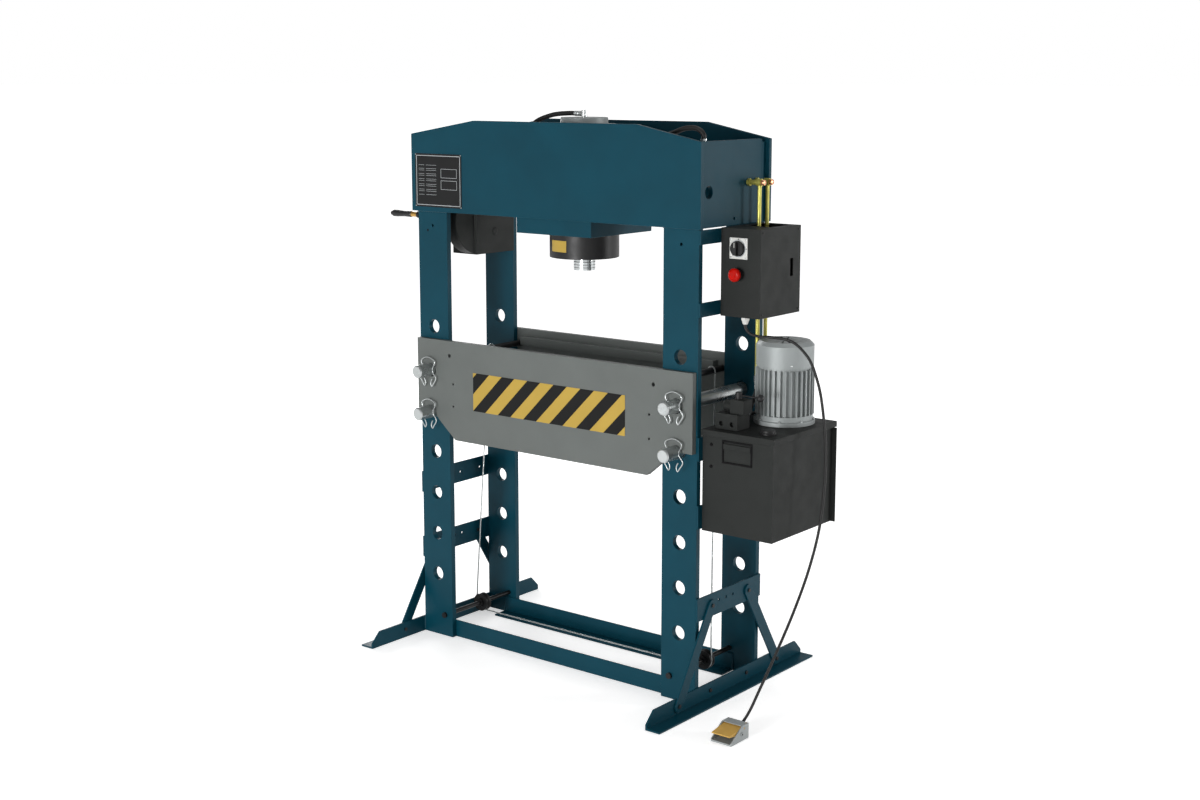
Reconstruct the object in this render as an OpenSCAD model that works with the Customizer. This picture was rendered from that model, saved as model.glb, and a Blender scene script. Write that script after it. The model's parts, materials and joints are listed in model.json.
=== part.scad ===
// Electro-hydraulic workshop press with an H-frame, a pinned table and a side power pack.
// Millimetres. X to the right, Y to the back, Z up. The origin is on the floor, midway between the columns.

/* [Columns] */
// Distance between the left and right column centres
col_pitch = 1066; // [940:1:1300]
// Width of a column bar
col_w = 136; // [116:1:170]
// Thickness of a column bar
col_t = 20; // [14:1:30]
// Clear gap between the front and rear columns
col_gap = 326; // [300:1:420]
// Height of the lowest support hole
hole_z = 228; // [190:1:300]
// Step between support holes
hole_step = 150; // [130:1:165]
// Number of support holes in a column
hole_n = 7; // [6:1:8]
// Diameter of a support hole
hole_d = 48; // [47:1:60]
// Diameter of the small hole near the top of a front column
lamp_hole_d = 10; // [6:1:14]

/* [Head] */
// Height of the underside of the head
head_z = 1533; // [1480:1:1650]
// Height of the head plates at their ends
head_end_h = 267; // [250:1:320]
// Rise of the flat top above the ends
head_rise = 49; // [20:1:60]
// Flat top to the left of the middle
head_flat_left = 324; // [250:1:420]
// Flat top to the right of the middle
head_flat_right = 368; // [250:1:420]
// Thickness of a head plate
head_t = 15; // [10:1:25]
// Overhang of the head plates past the columns
head_over = 15; // [5:1:20]
// Thickness of a head end plate
end_t = 15; // [10:1:25]
// Diameter of the round hole in an end plate
end_hole_d = 41; // [25:1:55]
// Thickness of a head rib
rib_t = 15; // [10:1:25]
// Height of a head rib
rib_h = 90; // [60:1:110]

/* [Cylinder] */
// Width of the cylinder mount
mount_w = 320; // [300:1:360]
// Depth of the cylinder mount
mount_d = 330; // [300:1:350]
// Height of the cylinder mount
mount_h = 130; // [110:1:140]
// How far the mount hangs below the head
mount_drop = 55; // [40:1:70]
// Step from the barrel's neck out to its shoulder
barrel_step = 8; // [4:1:20]
// Diameter of the barrel neck inside the mount
neck_d = 220; // [200:1:226]
// Length of barrel below the mount
barrel_drop = 83; // [70:1:120]
// Bore of the barrel
bore_d = 160; // [130:1:180]
// Diameter of the ram
ram_d = 74; // [60:1:90]
// Length of ram that shows at rest
ram_out = 45; // [30:1:70]
// Stroke of the ram
stroke = 250; // [150:1:260]
// Height of the piston
piston_h = 60; // [40:1:80]
// Diameter of the ram's spigot in the piston
spigot_d = 50; // [30:1:55]
// Diameter of the rod gland
gland_d = 110; // [100:1:125]
// Height of the rod gland
gland_h = 60; // [40:1:80]
// Height of the cap on the barrel
cap_h = 65; // [40:1:70]
// Diameter of the port boss on the cap
boss_d = 160; // [100:1:190]
// Height of the port boss
boss_h = 22; // [12:1:30]
// Ring width of the nut above the mount
nut_ring = 30; // [15:1:40]
// Height of the ring nut
nut_h = 40; // [30:1:60]

/* [Table] */
// Height of the table top above the upper pins
table_above = 109; // [90:1:120]
// Full height of a table plate
table_h = 350; // [330:1:380]
// Thickness of a table plate
table_t = 20; // [15:1:30]
// How far a table plate stops short of the columns' outer edges
table_inset = 5; // [0:1:15]
// Half length of a table plate's bottom edge
table_foot = 419; // [380:1:440]
// Length of the sloping corner of a table plate
table_slope = 107; // [90:1:112]
// Diameter of a tie rod
tie_d = 22; // [16:1:28]
// Distance from a column's inner edge to a tie rod
tie_in = 22; // [18:1:30]
// Depth of the tie rods below the table top
tie_drop = 52; // [45:1:55]
// Diameter of the bolt hole at a tie rod
tie_hole_d = 13; // [8:1:14]
// Diameter of the small holes in the front plate
dot_d = 8; // [5:1:10]
// Size of the square ledge bars
ledge = 30; // [20:1:35]
// Depth of the ledge tops below the table top
ledge_drop = 25; // [15:1:40]

/* [Pins] */
// Diameter of a support pin
pin_d = 45; // [38:1:46]
// Length of pin in front of the table
pin_front = 72; // [60:1:100]
// Length of pin behind the table
pin_rear = 50; // [30:1:80]
// Diameter of the wire of a spring clip
clip_d = 4; // [3:0.5:5]
// Distance from the table plate to a spring clip
clip_out = 14; // [10:1:20]
// Height of a clip's arch above the pin's centre
clip_arch = 46; // [40:1:60]

/* [Base] */
// Length of a foot
foot_len = 900; // [780:1:1100]
// Leg of a foot angle
foot_leg = 56; // [48:1:70]
// Thickness of the angles and straps
plate_t = 6; // [4:1:10]
// Corner cut at the ends of a foot
foot_cut = 38; // [20:1:42]
// Height of a base rail
rail_h = 61; // [40:1:68]
// Width of a base rail
rail_w = 65; // [50:1:75]
// How far a base rail laps a column
rail_lap = 50; // [30:1:80]
// Height of a side strap
strap_h = 76; // [60:1:90]
// Height of the lower side straps
strap_low_z = 316; // [290:1:360]
// Height of the upper left side strap
strap_up_z = 556; // [480:1:620]
// Width of a brace
brace_w = 40; // [30:1:48]
// Thickness of a brace
brace_t = 6; // [4:1:10]
// Distance of a brace's upper bolt from the middle
brace_top_y = 105; // [80:1:120]
// Distance of a brace's lower bolt from the middle
brace_foot_y = 285; // [250:1:340]
// Height of the bolts in a foot
brace_foot_z = 30; // [24:1:34]
// Diameter of a frame bolt
bolt_d = 8; // [6:1:12]
// Width across the corners of a bolt head
bolt_head = 14; // [13:1:20]
// Height of a bolt head
bolt_head_h = 4; // [3:1:8]

/* [Rope] */
// Distance of a pulley's axle from a column's inner edge
axle_in = 35; // [30:1:60]
// Height of the pulley axles
axle_z = 78; // [72:1:110]
// Diameter of a pulley axle
axle_d = 16; // [12:1:20]
// Diameter of a pulley
pulley_d = 64; // [56:1:80]
// Width of a pulley
pulley_w = 24; // [20:1:30]
// Depth of the rope groove
groove_h = 7; // [6:1:9]
// Diameter of the wire rope
rope_d = 5; // [4:0.5:6]
// Place of the rope run, behind the middle
rope_y = 16; // [-20:1:40]
// Place of the rope's right end, behind the middle
rope_end_y = 120; // [60:1:130]

/* [Winch] */
// Width of the winch housing
winch_w = 115; // [90:1:125]
// Depth of the winch housing
winch_d = 200; // [150:1:230]
// Height of the winch housing
winch_h = 160; // [140:1:200]
// Wall of the winch housing
winch_wall = 5; // [3:1:8]
// Diameter of the gear case
gear_case_d = 230; // [200:1:240]
// Width of the gear case
gear_case_w = 50; // [30:1:60]
// Diameter of the winch shaft
winch_shaft_d = 20; // [14:1:26]
// Diameter of the rope drum
drum_d = 60; // [40:1:80]
// Reach of the crank arm
crank_reach = 200; // [140:1:240]
// Lift angle of the crank arm from level
crank_angle = 18; // [0:1:60]
// Thickness of the crank arm
crank_t = 10; // [6:1:14]
// Length of the crank grip
grip_len = 95; // [80:1:130]
// Diameter of the crank grip
grip_d = 24; // [20:1:32]
// Diameter of the crank spindle
spindle_d = 10; // [8:1:14]
// Length of the brass ferrule
ferrule_len = 28; // [15:1:35]

/* [Tank] */
// Width of the tank past the motor flange
tank_margin = 18; // [10:1:80]
// Depth of the tank
tank_d = 352; // [320:1:400]
// Height of the tank
tank_h = 323; // [300:1:380]
// Distance of the tank's front wall from the middle
tank_front = 162; // [140:1:180]
// Height of the tank's floor
tank_z = 578; // [560:1:620]
// Sheet of the tank
tank_wall = 3; // [2:0.5:5]
// Overhang of the lid
lid_over = 10; // [4:1:16]
// Skirt of the lid below the rim
lid_skirt = 13; // [8:1:18]
// Plate of the lid
lid_t = 6; // [4:1:10]
// Rear flange past the tank's side
tank_flange = 16; // [8:1:24]
// Diameter of the filler cap
filler_d = 44; // [30:1:55]

/* [Motor] */
// Diameter of the motor tube
motor_d = 164; // [150:1:180]
// Length of the motor tube
motor_h = 172; // [140:1:220]
// Height of the cooling fins
fin_h = 12; // [6:1:14]
// Number of cooling fins
fin_n = 32; // [20:1:40]
// Thickness of a cooling fin
fin_t = 4; // [2:0.5:6]
// Diameter of the motor flange
flange_d = 196; // [190:1:205]
// Height of the motor flange
flange_h = 31; // [20:1:40]
// Gap between the cooling fins and the pipe nuts
motor_gap = 3; // [2:1:30]
// Diameter of the fan cowl
cowl_d = 184; // [175:1:195]
// Height of the fan cowl
cowl_h = 62; // [50:1:80]
// Diameter of the rotor
rotor_d = 100; // [80:1:110]
// Diameter of the motor shaft
shaft_d = 24; // [18:1:30]
// Diameter of the fan
fan_d = 150; // [120:1:160]
// Diameter of the pump
pump_d = 90; // [70:1:110]
// Height of the pump
pump_h = 120; // [80:1:180]

/* [Valve] */
// Width of the valve block
block_w = 82; // [74:1:95]
// Depth of the valve block
block_d = 70; // [56:1:80]
// Height of the valve block
block_h = 51; // [44:1:60]
// Diameter of a port in the valve block
port_d = 15; // [10:1:18]
// Reach of the valve lever
lever_reach = 80; // [60:1:95]
// Diameter of the lever ball
ball_d = 24; // [18:1:30]

/* [Pipes] */
// Diameter of a pipe
pipe_d = 13; // [10:1:16]
// Distance of the pipes from the column's side
pipe_out = 44; // [40:1:52]
// Place of the first pipe, behind the middle
pipe_y = 84; // [74:1:90]
// Distance between the pipes
pipe_step = 46; // [36:1:52]
// Height of the banjo fittings above the head's underside
banjo_z = 132; // [110:1:150]
// Diameter of a hose
hose_d = 16; // [12:1:18]

/* [Control box] */
// Width of the control box
box_w = 147; // [130:1:180]
// Depth of the control box
box_d = 232; // [220:1:245]
// Height of the control box
box_h = 278; // [250:1:310]
// Distance of the box's front from the middle
box_front = 72; // [60:1:78]
// Sheet of the control box
box_wall = 2; // [1:0.5:4]
// Height of the switch on the box's front
switch_z = 216; // [190:1:225]
// Height of the stop button on the box's front
stop_z = 135; // [100:1:140]
// Place of the switch and button across the front
switch_x = 67; // [50:1:80]
// Size of the switch plate
switch_plate_w = 66; // [54:1:74]
// Diameter of the switch knob
knob_d = 46; // [36:1:52]
// Diameter of the stop button
stop_d = 43; // [34:1:50]
// Travel of the stop button
stop_travel = 5; // [3:1:6]

/* [Pedal] */
// Width of the pedal housing
pedal_w = 76; // [66:1:100]
// Length of the pedal housing
pedal_len = 96; // [90:1:120]
// Height of the pedal housing
pedal_h = 48; // [46:1:60]
// Wall of the pedal housing
pedal_wall = 4; // [3:1:6]
// Distance of the pedal to the right of the column's side
pedal_x = 201; // [180:1:260]
// Distance of the pedal's heel in front of the middle
pedal_y = 298; // [280:1:330]
// Diameter of the pedal's hinge pin
hinge_d = 6; // [4:1:8]
// Diameter of the pedal cable
cable_d = 9; // [7:1:11]

/* [Hidden] */
$fn = 48;
hex = 6;

// Clearances: running fits, seats, loose bolt holes and flat faces that part
run_gap = 0.05;
seat_gap = 0.3;
bolt_gap = 0.5;
table_gap = 0.5;
eps = 1;

// Column and head planes
col_x = col_pitch / 2;
col_in = col_x - col_w / 2;
col_out = col_x + col_w / 2;
y_in = col_gap / 2;
y_out = y_in + col_t;
col_top_drop = 10;
head_end_z = head_z + head_end_h;
head_top_z = head_end_z + head_rise;
head_half = col_out + head_over;
side_x = col_out + plate_t;
lamp_hole_drop = 50;

// Support pins rest on the bottom of the column holes, and the table rests on the pins
pin_row_low = 4;
pin_row_high = 5;
pin_sink = (hole_d - pin_d) / 2 - seat_gap;
pin_rows = [for (i = [pin_row_low, pin_row_high]) hole_z + i * hole_step - pin_sink];
pin_low_z = pin_rows[0];
pin_high_z = pin_rows[1];
table_in = y_out + table_gap;
table_out = table_in + table_t;
table_top = pin_high_z + table_above;
table_low = table_top - table_h;
table_half = col_out - table_inset;
tie_x = col_in - tie_in;
tie_z = table_top - tie_drop;
dot_x = tie_x - 16;
dot_rows = [151, 230];
ledge_half = tie_x - tie_d / 2 - 6;
pin_cut = 4;
clip_y = -(table_out + clip_out);
clip_groove_d = pin_d - 5;

// Cylinder stack, from the mount's underside
mount_z = head_z - mount_drop;
barrel_d = neck_d + 2 * barrel_step;
nut_d = neck_d + 2 * nut_ring;
barrel_z = mount_z - barrel_drop;
gland_top = barrel_z + gland_h;
end_room = 5;
barrel_top = gland_top + stroke + piston_h + 2 * end_room;
cap_top = barrel_top + cap_h;
boss_top = cap_top + boss_h;
ram_tip = barrel_z - ram_out;
piston_z = barrel_top - end_room - piston_h;
nut_z = mount_z + mount_h;
ram_groove_d = ram_d - 3;
ram_groove_w = 3;
elbow_d = 20;
elbow_z = boss_top + 12;
elbow_top = elbow_z + elbow_d / 2 + 2;

// Rope run, in the plane of the pulleys
axle_x = col_in + axle_in;
axle_head = 8;
axle_head_d = 20;
groove_r = pulley_d / 2 - groove_h;
rope_r = groove_r + rope_d / 2 + seat_gap;
tie_rope_r = tie_d / 2 + rope_d / 2 + 2 * seat_gap;
collar_d = 34;
collar_w = 8;

// Winch, bolted to the inner face of the left rear column
winch_x1 = -col_in + 5;
winch_x0 = winch_x1 - winch_w;
winch_y1 = y_in;
winch_y0 = winch_y1 - winch_d;
winch_z0 = head_z - winch_h;
winch_shaft_y = winch_y1 - 103;
winch_shaft_z = winch_z0 + 77;
gear_case_y = winch_y0 + 22;
gear_case_z = winch_z0 + 117;
gear_case_x = winch_x1 - 10;
crank_x = -col_out - 44;
crank_y = winch_shaft_y - crank_reach * cos(crank_angle);
crank_z = winch_shaft_z + crank_reach * sin(crank_angle);
crank_hub_d = 40;
crank_w = 24;
spindle_tip = 6;
grip_x1 = crank_x - crank_t - ferrule_len - seat_gap;
grip_x0 = grip_x1 - grip_len;
drum_gap = 6;
drum_rim = 20;
drum_flange_d = drum_d + 2 * drum_rim;
drum_flange_t = 6;

// Holes of the upper strap
strap_hole_ys = [15, 120];
strap_hole_d = 9;

// Power pack, set out from the pipes
pipe_x = col_out + pipe_out;
nut_w = 20;
motor_x = pipe_x + nut_w / 2 + motor_gap + fin_h + motor_d / 2;
tank_x1 = motor_x + flange_d / 2 + tank_margin;
tank_y0 = -tank_front;
tank_y1 = tank_y0 + tank_d;
tank_top = tank_z + tank_h;
lid_top = tank_top + lid_t;
tank_strap_rise = 43;
tank_strap_step = 220;
tank_strap_zs = [tank_z + tank_strap_rise, tank_z + tank_strap_rise + tank_strap_step];
motor_back = 69;
motor_y = tank_y0 + tank_d / 2 + motor_back;
motor_z = lid_top + flange_h;
motor_top = motor_z + motor_h;
shield_t = 12;
stator_bore = rotor_d + 12;
rotor_room = 16;
fan_t = 4;
fan_blades = 8;
fan_z = motor_top + 14;
cowl_wall = 3;
cowl_top = motor_top + cowl_h;
vent_n = 16;
filler_inset = 51;
filler_x = tank_x1 - filler_inset;
filler_y = tank_y0 + filler_inset;
filler_h = 14;
handle_inset = 130;
handle_drop = 58;
handle_x = side_x + handle_inset;
handle_z = tank_top - handle_drop;
handle_w = 100;
handle_h = 62;

// Valve group on the lid
block_x = side_x + 70;
block_y = tank_y0 + 62;
block_top = lid_top + block_h;
port_z = lid_top + 18;
valve_w = 52;
valve_d = 50;
valve_h = 45;
valve_x = block_x + 31;
valve_top = block_top + valve_h;
side_valve_d = 36;
side_valve_len = 31;
lever_x = valve_x - 9;
lever_hub_d = 22;
lever_hub_h = 21;
lever_rod_d = 6;
lever_stem_d = 10;
lever_stem_h = 15;

// Pipes and hoses
pipe_ys = [pipe_y, pipe_y + pipe_step];
banjo_top = head_z + banjo_z;
banjo_shank = 16;
banjo_d = 24;
banjo_len = 18;
cap_len = 10;
pipe_rise = 88;
pipe_stagger = 55;
pipe_drop = block_top + pipe_rise;
pipe_ends = [pipe_drop, pipe_drop - pipe_stagger];
nut_len = 22;

// Control box
box_x0 = side_x;
box_x1 = box_x0 + box_w;
box_y0 = -box_front;
box_y1 = box_y0 + box_d;
box_z1 = head_z - 1;
box_z0 = box_z1 - box_h;
box_strap_h = 45;
box_strap_zs = [box_z0 + 27, box_z1 - 25];
panel_x = box_x0 + switch_x;
pipe_room = 14;
stem_d = 10;
stem_len = 14;
switch_plate_t = 4;
knob_h = 24;
knob_grip_w = 12;
collar_stop_d = 32;
collar_stop_h = 12;
stop_h = 16;
gland_x = box_x0 + 83;
gland_y = box_y0 + 17;
cable_gland_d = 24;
cable_gland_h = 22;
slot_w = 16;
slot_h = 56;

// Pedal on the floor
pedal_x0 = side_x + pedal_x;
pedal_x1 = pedal_x0 + pedal_w;
pedal_y1 = -pedal_y;
pedal_y0 = pedal_y1 - pedal_len;
pedal_toe_h = 9;
pedal_base_t = 6;
pedal_plate_t = 4;
hinge_y = pedal_y1 - 24;
hinge_z = pedal_h - 11;
pedal_hood = 36;
pedal_hood_t = 3;
pedal_gap = 0.5;
pedal_tilt = 9;
pedal_reach = 74;
pedal_cable_z = 24;
pedal_cable_x = pedal_x0 + 40;

crimp_x = col_out - 36;
crimp_y = -112;
crimp_top = head_end_z + 6;
crimp_len = 30;
hose_end_x = col_out - 70;

// Routes chosen by hand
hose_top_route = [
    [-14, 0, elbow_z], [-70, 0, elbow_z], [-140, -8, elbow_z - 8], [-205, -20, elbow_z - 36],
    [-248, -8, elbow_z - 86], [-248, 40, elbow_z - 140], [-205, 100, elbow_z - 176],
    [-120, 146, elbow_z - 186], [0, 156, elbow_z - 186], [150, 154, elbow_z - 188],
    [320, 142, banjo_top + 18], [430, pipe_ys[1], banjo_top + 3], [hose_end_x - 40, pipe_ys[1], banjo_top],
    [hose_end_x, pipe_ys[1], banjo_top]];
hose_side_route = [
    [145, -40, barrel_top - 75], [170, -40, barrel_top - 75], [215, -54, barrel_top - 58],
    [280, -84, barrel_top - 26], [370, -108, barrel_top + 20], [450, crimp_y, head_end_z + 22],
    [505, crimp_y, head_end_z + 38], [crimp_x - 23, crimp_y, head_end_z + 36], [crimp_x - 5, crimp_y, head_end_z + 24],
    [crimp_x, crimp_y, crimp_top + 9], [crimp_x, crimp_y, crimp_top]];
head_tube_route = [
    [crimp_x, crimp_y, crimp_top - crimp_len], [crimp_x, crimp_y, crimp_top - crimp_len - 46],
    [crimp_x, crimp_y + 16, banjo_top + 12], [crimp_x, crimp_y + 52, banjo_top], [crimp_x, 0, banjo_top],
    [crimp_x, pipe_y - banjo_shank / 2, banjo_top]];
pump_hose_a_route = [
    [pipe_x, pipe_ys[0], pipe_ends[0] - nut_len], [pipe_x, pipe_ys[0], pipe_ends[0] - nut_len - 18],
    [pipe_x + 4, pipe_ys[0] - 26, pipe_ends[0] - nut_len - 60], [block_x, 4, block_top - 2],
    [block_x + 18, block_y + block_d / 2 + 28, block_top - 14], [block_x + 18, block_y + block_d / 2, block_top - 14]];
pump_hose_b_route = [
    [pipe_x, pipe_ys[1], pipe_ends[1] - nut_len], [pipe_x, pipe_ys[1], pipe_ends[1] - nut_len - 12],
    [pipe_x - 8, pipe_ys[1] - 34, pipe_ends[1] - nut_len - 46], [pipe_x - 14, 40, lid_top + 18],
    [pipe_x - 4, -16, lid_top + 14], [block_x - 22, block_y + block_d / 2 + 22, lid_top + 14],
    [block_x - 22, block_y + block_d / 2, lid_top + 14]];
cable_exit = box_z0 - cable_gland_h;
cable_route = [
    [gland_x, gland_y, cable_exit], [gland_x, gland_y, cable_exit - 8], [700, -50, cable_exit - 26],
    [724, -40, cable_exit - 36], [770, -22, cable_exit - 38], [830, -4, 1184], [880, 8, 1140], [915, 15, 1060],
    [935, 18, 960], [946, 18, 840], [948, 10, 720], [944, -10, 600], [934, -50, 480], [918, -105, 360],
    [898, -170, 240], [876, -230, 130], [858, -266, 58], [pedal_cable_x + 2, pedal_y1 + 15, pedal_cable_z + 10],
    [pedal_cable_x, pedal_y1 + 6, pedal_cable_z], [pedal_cable_x, pedal_y1, pedal_cable_z]];

// Colours
blue = [0.15, 0.30, 0.37];
plate_grey = [0.41, 0.42, 0.42];
black = [0.18, 0.18, 0.18];
steel = [0.66, 0.67, 0.67];
zinc = [0.61, 0.61, 0.36];
yellow = [0.80, 0.66, 0.36];

// Box from its lowest to its highest corner
module slab(lo, hi) {
    translate(lo) cube(hi - lo);
}

// Round bars along each axis
module bar_x(x0, x1, y, z, d) {
    translate([x0, y, z]) rotate([0, 90, 0]) cylinder(h = x1 - x0, d = d);
}
module bar_y(y0, y1, x, z, d) {
    translate([x, y0, z]) rotate([-90, 0, 0]) cylinder(h = y1 - y0, d = d);
}
module bar_z(z0, z1, x, y, d) {
    translate([x, y, z0]) cylinder(h = z1 - z0, d = d);
}

// Six-sided bars, for nuts and bolt heads
module hex_x(x0, x1, y, z, d) {
    translate([x0, y, z]) rotate([0, 90, 0]) cylinder(h = x1 - x0, d = d, $fn = hex);
}
module hex_z(z0, z1, x, y, d) {
    translate([x, y, z0]) cylinder(h = z1 - z0, d = d, $fn = hex);
}

// Copies on the left and right, and at the front and rear
module left_right() {
    children();
    mirror([1, 0, 0]) children();
}
module front_rear() {
    children();
    mirror([0, 1, 0]) children();
}

// Outline in X and Z, drawn upright and given its thickness towards the front from y1
module upright(y1, t) {
    translate([0, y1, 0]) rotate([90, 0, 0]) linear_extrude(t) children();
}

// Outline in Y and Z, given its thickness to the right from x0
module sideways(x0, t) {
    translate([x0, 0, 0]) rotate([90, 0, 90]) linear_extrude(t) children();
}

// Smooth curve through hand-chosen points, with square ends
stub = 0.03;
function catmull(a, b, c, d, t) =
    0.5 * ((2 * b) + (c - a) * t + (2 * a - 5 * b + 4 * c - d) * t * t + (3 * b - a - 3 * c + d) * t * t * t);
function smooth(route, steps) = let (n = len(route) - 1)
    concat([route[0], route[0] + stub * (route[1] - route[0])],
        [for (i = [0 : n - 1]) for (k = [0 : steps - 1]) if (i + k > 0)
            catmull(route[max(i - 1, 0)], route[i], route[i + 1], route[min(i + 2, n)], k / steps)],
        [route[n] + stub * (route[n - 1] - route[n]), route[n]]);

// Round tube along a path, with rings that turn as little as they can
function unit(v) = v / norm(v);
function heading(path, i) = unit(path[min(i + 1, len(path) - 1)] - path[max(i - 1, 0)]);
function carry(path, i, n) = let (t = heading(path, i), m = unit(n - (n * t) * t))
    i == len(path) - 1 ? [m] : concat([m], carry(path, i + 1, m));
module tube(path, d, sides, start) {
    last = len(path) - 1;
    normals = carry(path, 0, start);
    points = [for (i = [0 : last]) let (t = heading(path, i), n = normals[i], b = cross(t, n))
        for (k = [0 : sides - 1]) path[i] + d / 2 * (cos(360 * k / sides) * n + sin(360 * k / sides) * b)];
    walls = [for (i = [0 : last - 1]) for (k = [0 : sides - 1])
        let (j = (k + 1) % sides, a = i * sides, b = a + sides)
        each [[a + k, b + k, b + j], [a + k, b + j, a + j]]];
    first_cap = [for (k = [0 : sides - 1]) k];
    last_cap = [for (k = [sides - 1 : -1 : 0]) last * sides + k];
    polyhedron(points, concat([first_cap], walls, [last_cap]), convexity = 6);
}

// Column bar of the right rear corner
module column_bar() {
    difference() {
        slab([col_in, y_in, 0], [col_out, y_out, head_end_z - col_top_drop]);
        for (i = [0 : hole_n - 1]) bar_y(y_in - eps, y_out + eps, col_x, hole_z + i * hole_step, hole_d);
        bar_y(y_in - eps, y_out + eps, axle_x, axle_z, axle_d + 2 * seat_gap);
    }
}
module front_columns() {
    color(blue) left_right() mirror([0, 1, 0]) difference() {
        column_bar();
        bar_y(y_in - eps, y_out + eps, col_x, head_z - lamp_hole_drop, lamp_hole_d);
    }
}
module rear_columns() {
    color(blue) left_right() column_bar();
}

// Head plates with a flat top and sloping shoulders
module head_outline() {
    polygon([[-head_half, head_z], [head_half, head_z], [head_half, head_end_z],
        [head_flat_right, head_top_z], [-head_flat_left, head_top_z], [-head_half, head_end_z]]);
}
module head_front() {
    color(blue) upright(-y_out, head_t) head_outline();
}
module head_rear() {
    color(blue) upright(y_out + head_t, head_t) head_outline();
}
module end_plate() {
    difference() {
        slab([col_out - end_t, -y_in, head_z], [col_out, y_in, head_end_z]);
        bar_x(col_out - end_t - eps, col_out + eps, -y_in + 30, head_z + 110, end_hole_d);
        bar_x(col_out - end_t - eps, col_out + eps, 8, head_z + 21, lamp_hole_d);
        for (y = pipe_ys) bar_x(col_out - end_t - eps, col_out + eps, y, banjo_top, banjo_shank + 2 * bolt_gap);
    }
}
module head_ends() {
    color(blue) left_right() end_plate();
}
module head_ribs() {
    color(blue) left_right()
        slab([mount_w / 2, -y_out, head_z], [mount_w / 2 + rib_t, y_out, head_z + rib_h]);
}

// Foot angles with cut corners, bolted to the columns' sides
module foot() {
    difference() {
        union() {
            sideways(col_out, plate_t) polygon([
                [-foot_len / 2, 0], [foot_len / 2, 0], [foot_len / 2, foot_leg - foot_cut],
                [foot_len / 2 - foot_cut, foot_leg], [-foot_len / 2 + foot_cut, foot_leg],
                [-foot_len / 2, foot_leg - foot_cut]]);
            slab([col_out, -foot_len / 2, 0], [col_out + foot_leg, foot_len / 2, plate_t]);
        }
        for (y = [-1, 1]) for (reach = [brace_top_y, brace_foot_y])
            bar_x(col_out - eps, side_x + eps, y * reach, brace_foot_z, bolt_d + 2 * bolt_gap);
    }
}
module feet() {
    color(blue) left_right() foot();
}

// Angle rails between the columns, with the lower leg pointing inwards
module base_rails() {
    half = col_in + rail_lap;
    color(blue) front_rear() difference() {
        slab([-half, y_in - rail_w, 0], [half, y_in, rail_h]);
        slab([-half - eps, y_in - rail_w - eps, plate_t], [half + eps, y_in - plate_t, rail_h + eps]);
    }
}

// Flat straps across the outer edges of a pair of columns
module strap(z, h) {
    slab([col_out, -y_out, z - h / 2], [side_x, y_out, z + h / 2]);
}
module low_strap() {
    difference() {
        strap(strap_low_z, strap_h);
        for (y = [-brace_top_y, brace_top_y])
            bar_x(col_out - eps, side_x + eps, y, strap_low_z, bolt_d + 2 * bolt_gap);
        for (i = [-1 : 1]) bar_x(col_out - eps, side_x + eps, i * 40 - 20, strap_low_z + 8, 9);
    }
}
module side_straps() {
    color(blue) {
        left_right() low_strap();
        mirror([1, 0, 0]) difference() {
            strap(strap_up_z, strap_h);
            for (y = strap_hole_ys) bar_x(col_out - eps, side_x + eps, y, strap_up_z, strap_hole_d);
        }
    }
}
module tank_straps() {
    color(blue) for (z = tank_strap_zs) strap(z, strap_h);
}
module box_straps() {
    color(blue) for (z = box_strap_zs) strap(z, box_strap_h);
}

// Diagonal braces from the lower straps to the feet
module brace() {
    run = brace_foot_y - brace_top_y;
    fall = strap_low_z - brace_foot_z;
    length = norm([run, fall]);
    sideways(side_x, brace_t) translate([brace_top_y, strap_low_z]) rotate(-atan2(fall, run)) difference() {
        union() {
            translate([0, -brace_w / 2]) square([length, brace_w]);
            for (end = [0, length]) translate([end, 0]) circle(d = brace_w);
        }
        for (end = [0, length]) translate([end, 0]) circle(d = bolt_d + 2 * bolt_gap);
    }
}
module braces() {
    color(blue) left_right() front_rear() brace();
}

// Hex bolts through the braces, the straps and the feet
module bolt(y, z, face, grip) {
    hex_x(face, face + bolt_head_h, y, z, bolt_head);
    bar_x(face - grip, face, y, z, bolt_d);
    hex_x(face - grip - bolt_head_h, face - grip, y, z, bolt_head);
}
module frame_bolts() {
    color(black) left_right() front_rear() {
        bolt(brace_top_y, strap_low_z, side_x + brace_t, plate_t + brace_t);
        bolt(brace_foot_y, brace_foot_z, side_x + brace_t, plate_t + brace_t);
        bolt(brace_top_y, brace_foot_z, side_x, plate_t);
    }
}

// Block between the head ribs that carries the barrel
module cylinder_mount() {
    color(blue) difference() {
        slab([-mount_w / 2, -mount_d / 2, mount_z], [mount_w / 2, mount_d / 2, nut_z]);
        bar_z(mount_z - eps, nut_z + eps, 0, 0, neck_d + 2 * seat_gap);
    }
}

// Barrel with a shoulder under the mount and a bore for the piston
module barrel() {
    color(black) difference() {
        union() {
            bar_z(barrel_z, mount_z, 0, 0, barrel_d);
            bar_z(barrel_z, barrel_top, 0, 0, neck_d);
        }
        bar_z(barrel_z - eps, gland_top, 0, 0, gland_d);
        bar_z(gland_top, barrel_top + eps, 0, 0, bore_d + 2 * run_gap);
    }
}
module ring_nut() {
    color(black) difference() {
        bar_z(nut_z, nut_z + nut_h, 0, 0, nut_d);
        bar_z(nut_z - eps, nut_z + nut_h + eps, 0, 0, neck_d + 2 * seat_gap);
        for (a = [0 : 60 : 300]) rotate(a) slab([nut_d / 2 - 8, -8, nut_z - eps], [nut_d, 8, nut_z + nut_h + eps]);
    }
}
module rod_gland() {
    color(black) difference() {
        bar_z(barrel_z, gland_top, 0, 0, gland_d - 2 * run_gap);
        bar_z(barrel_z - eps, gland_top + eps, 0, 0, ram_d + 2 * run_gap);
    }
}
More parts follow.
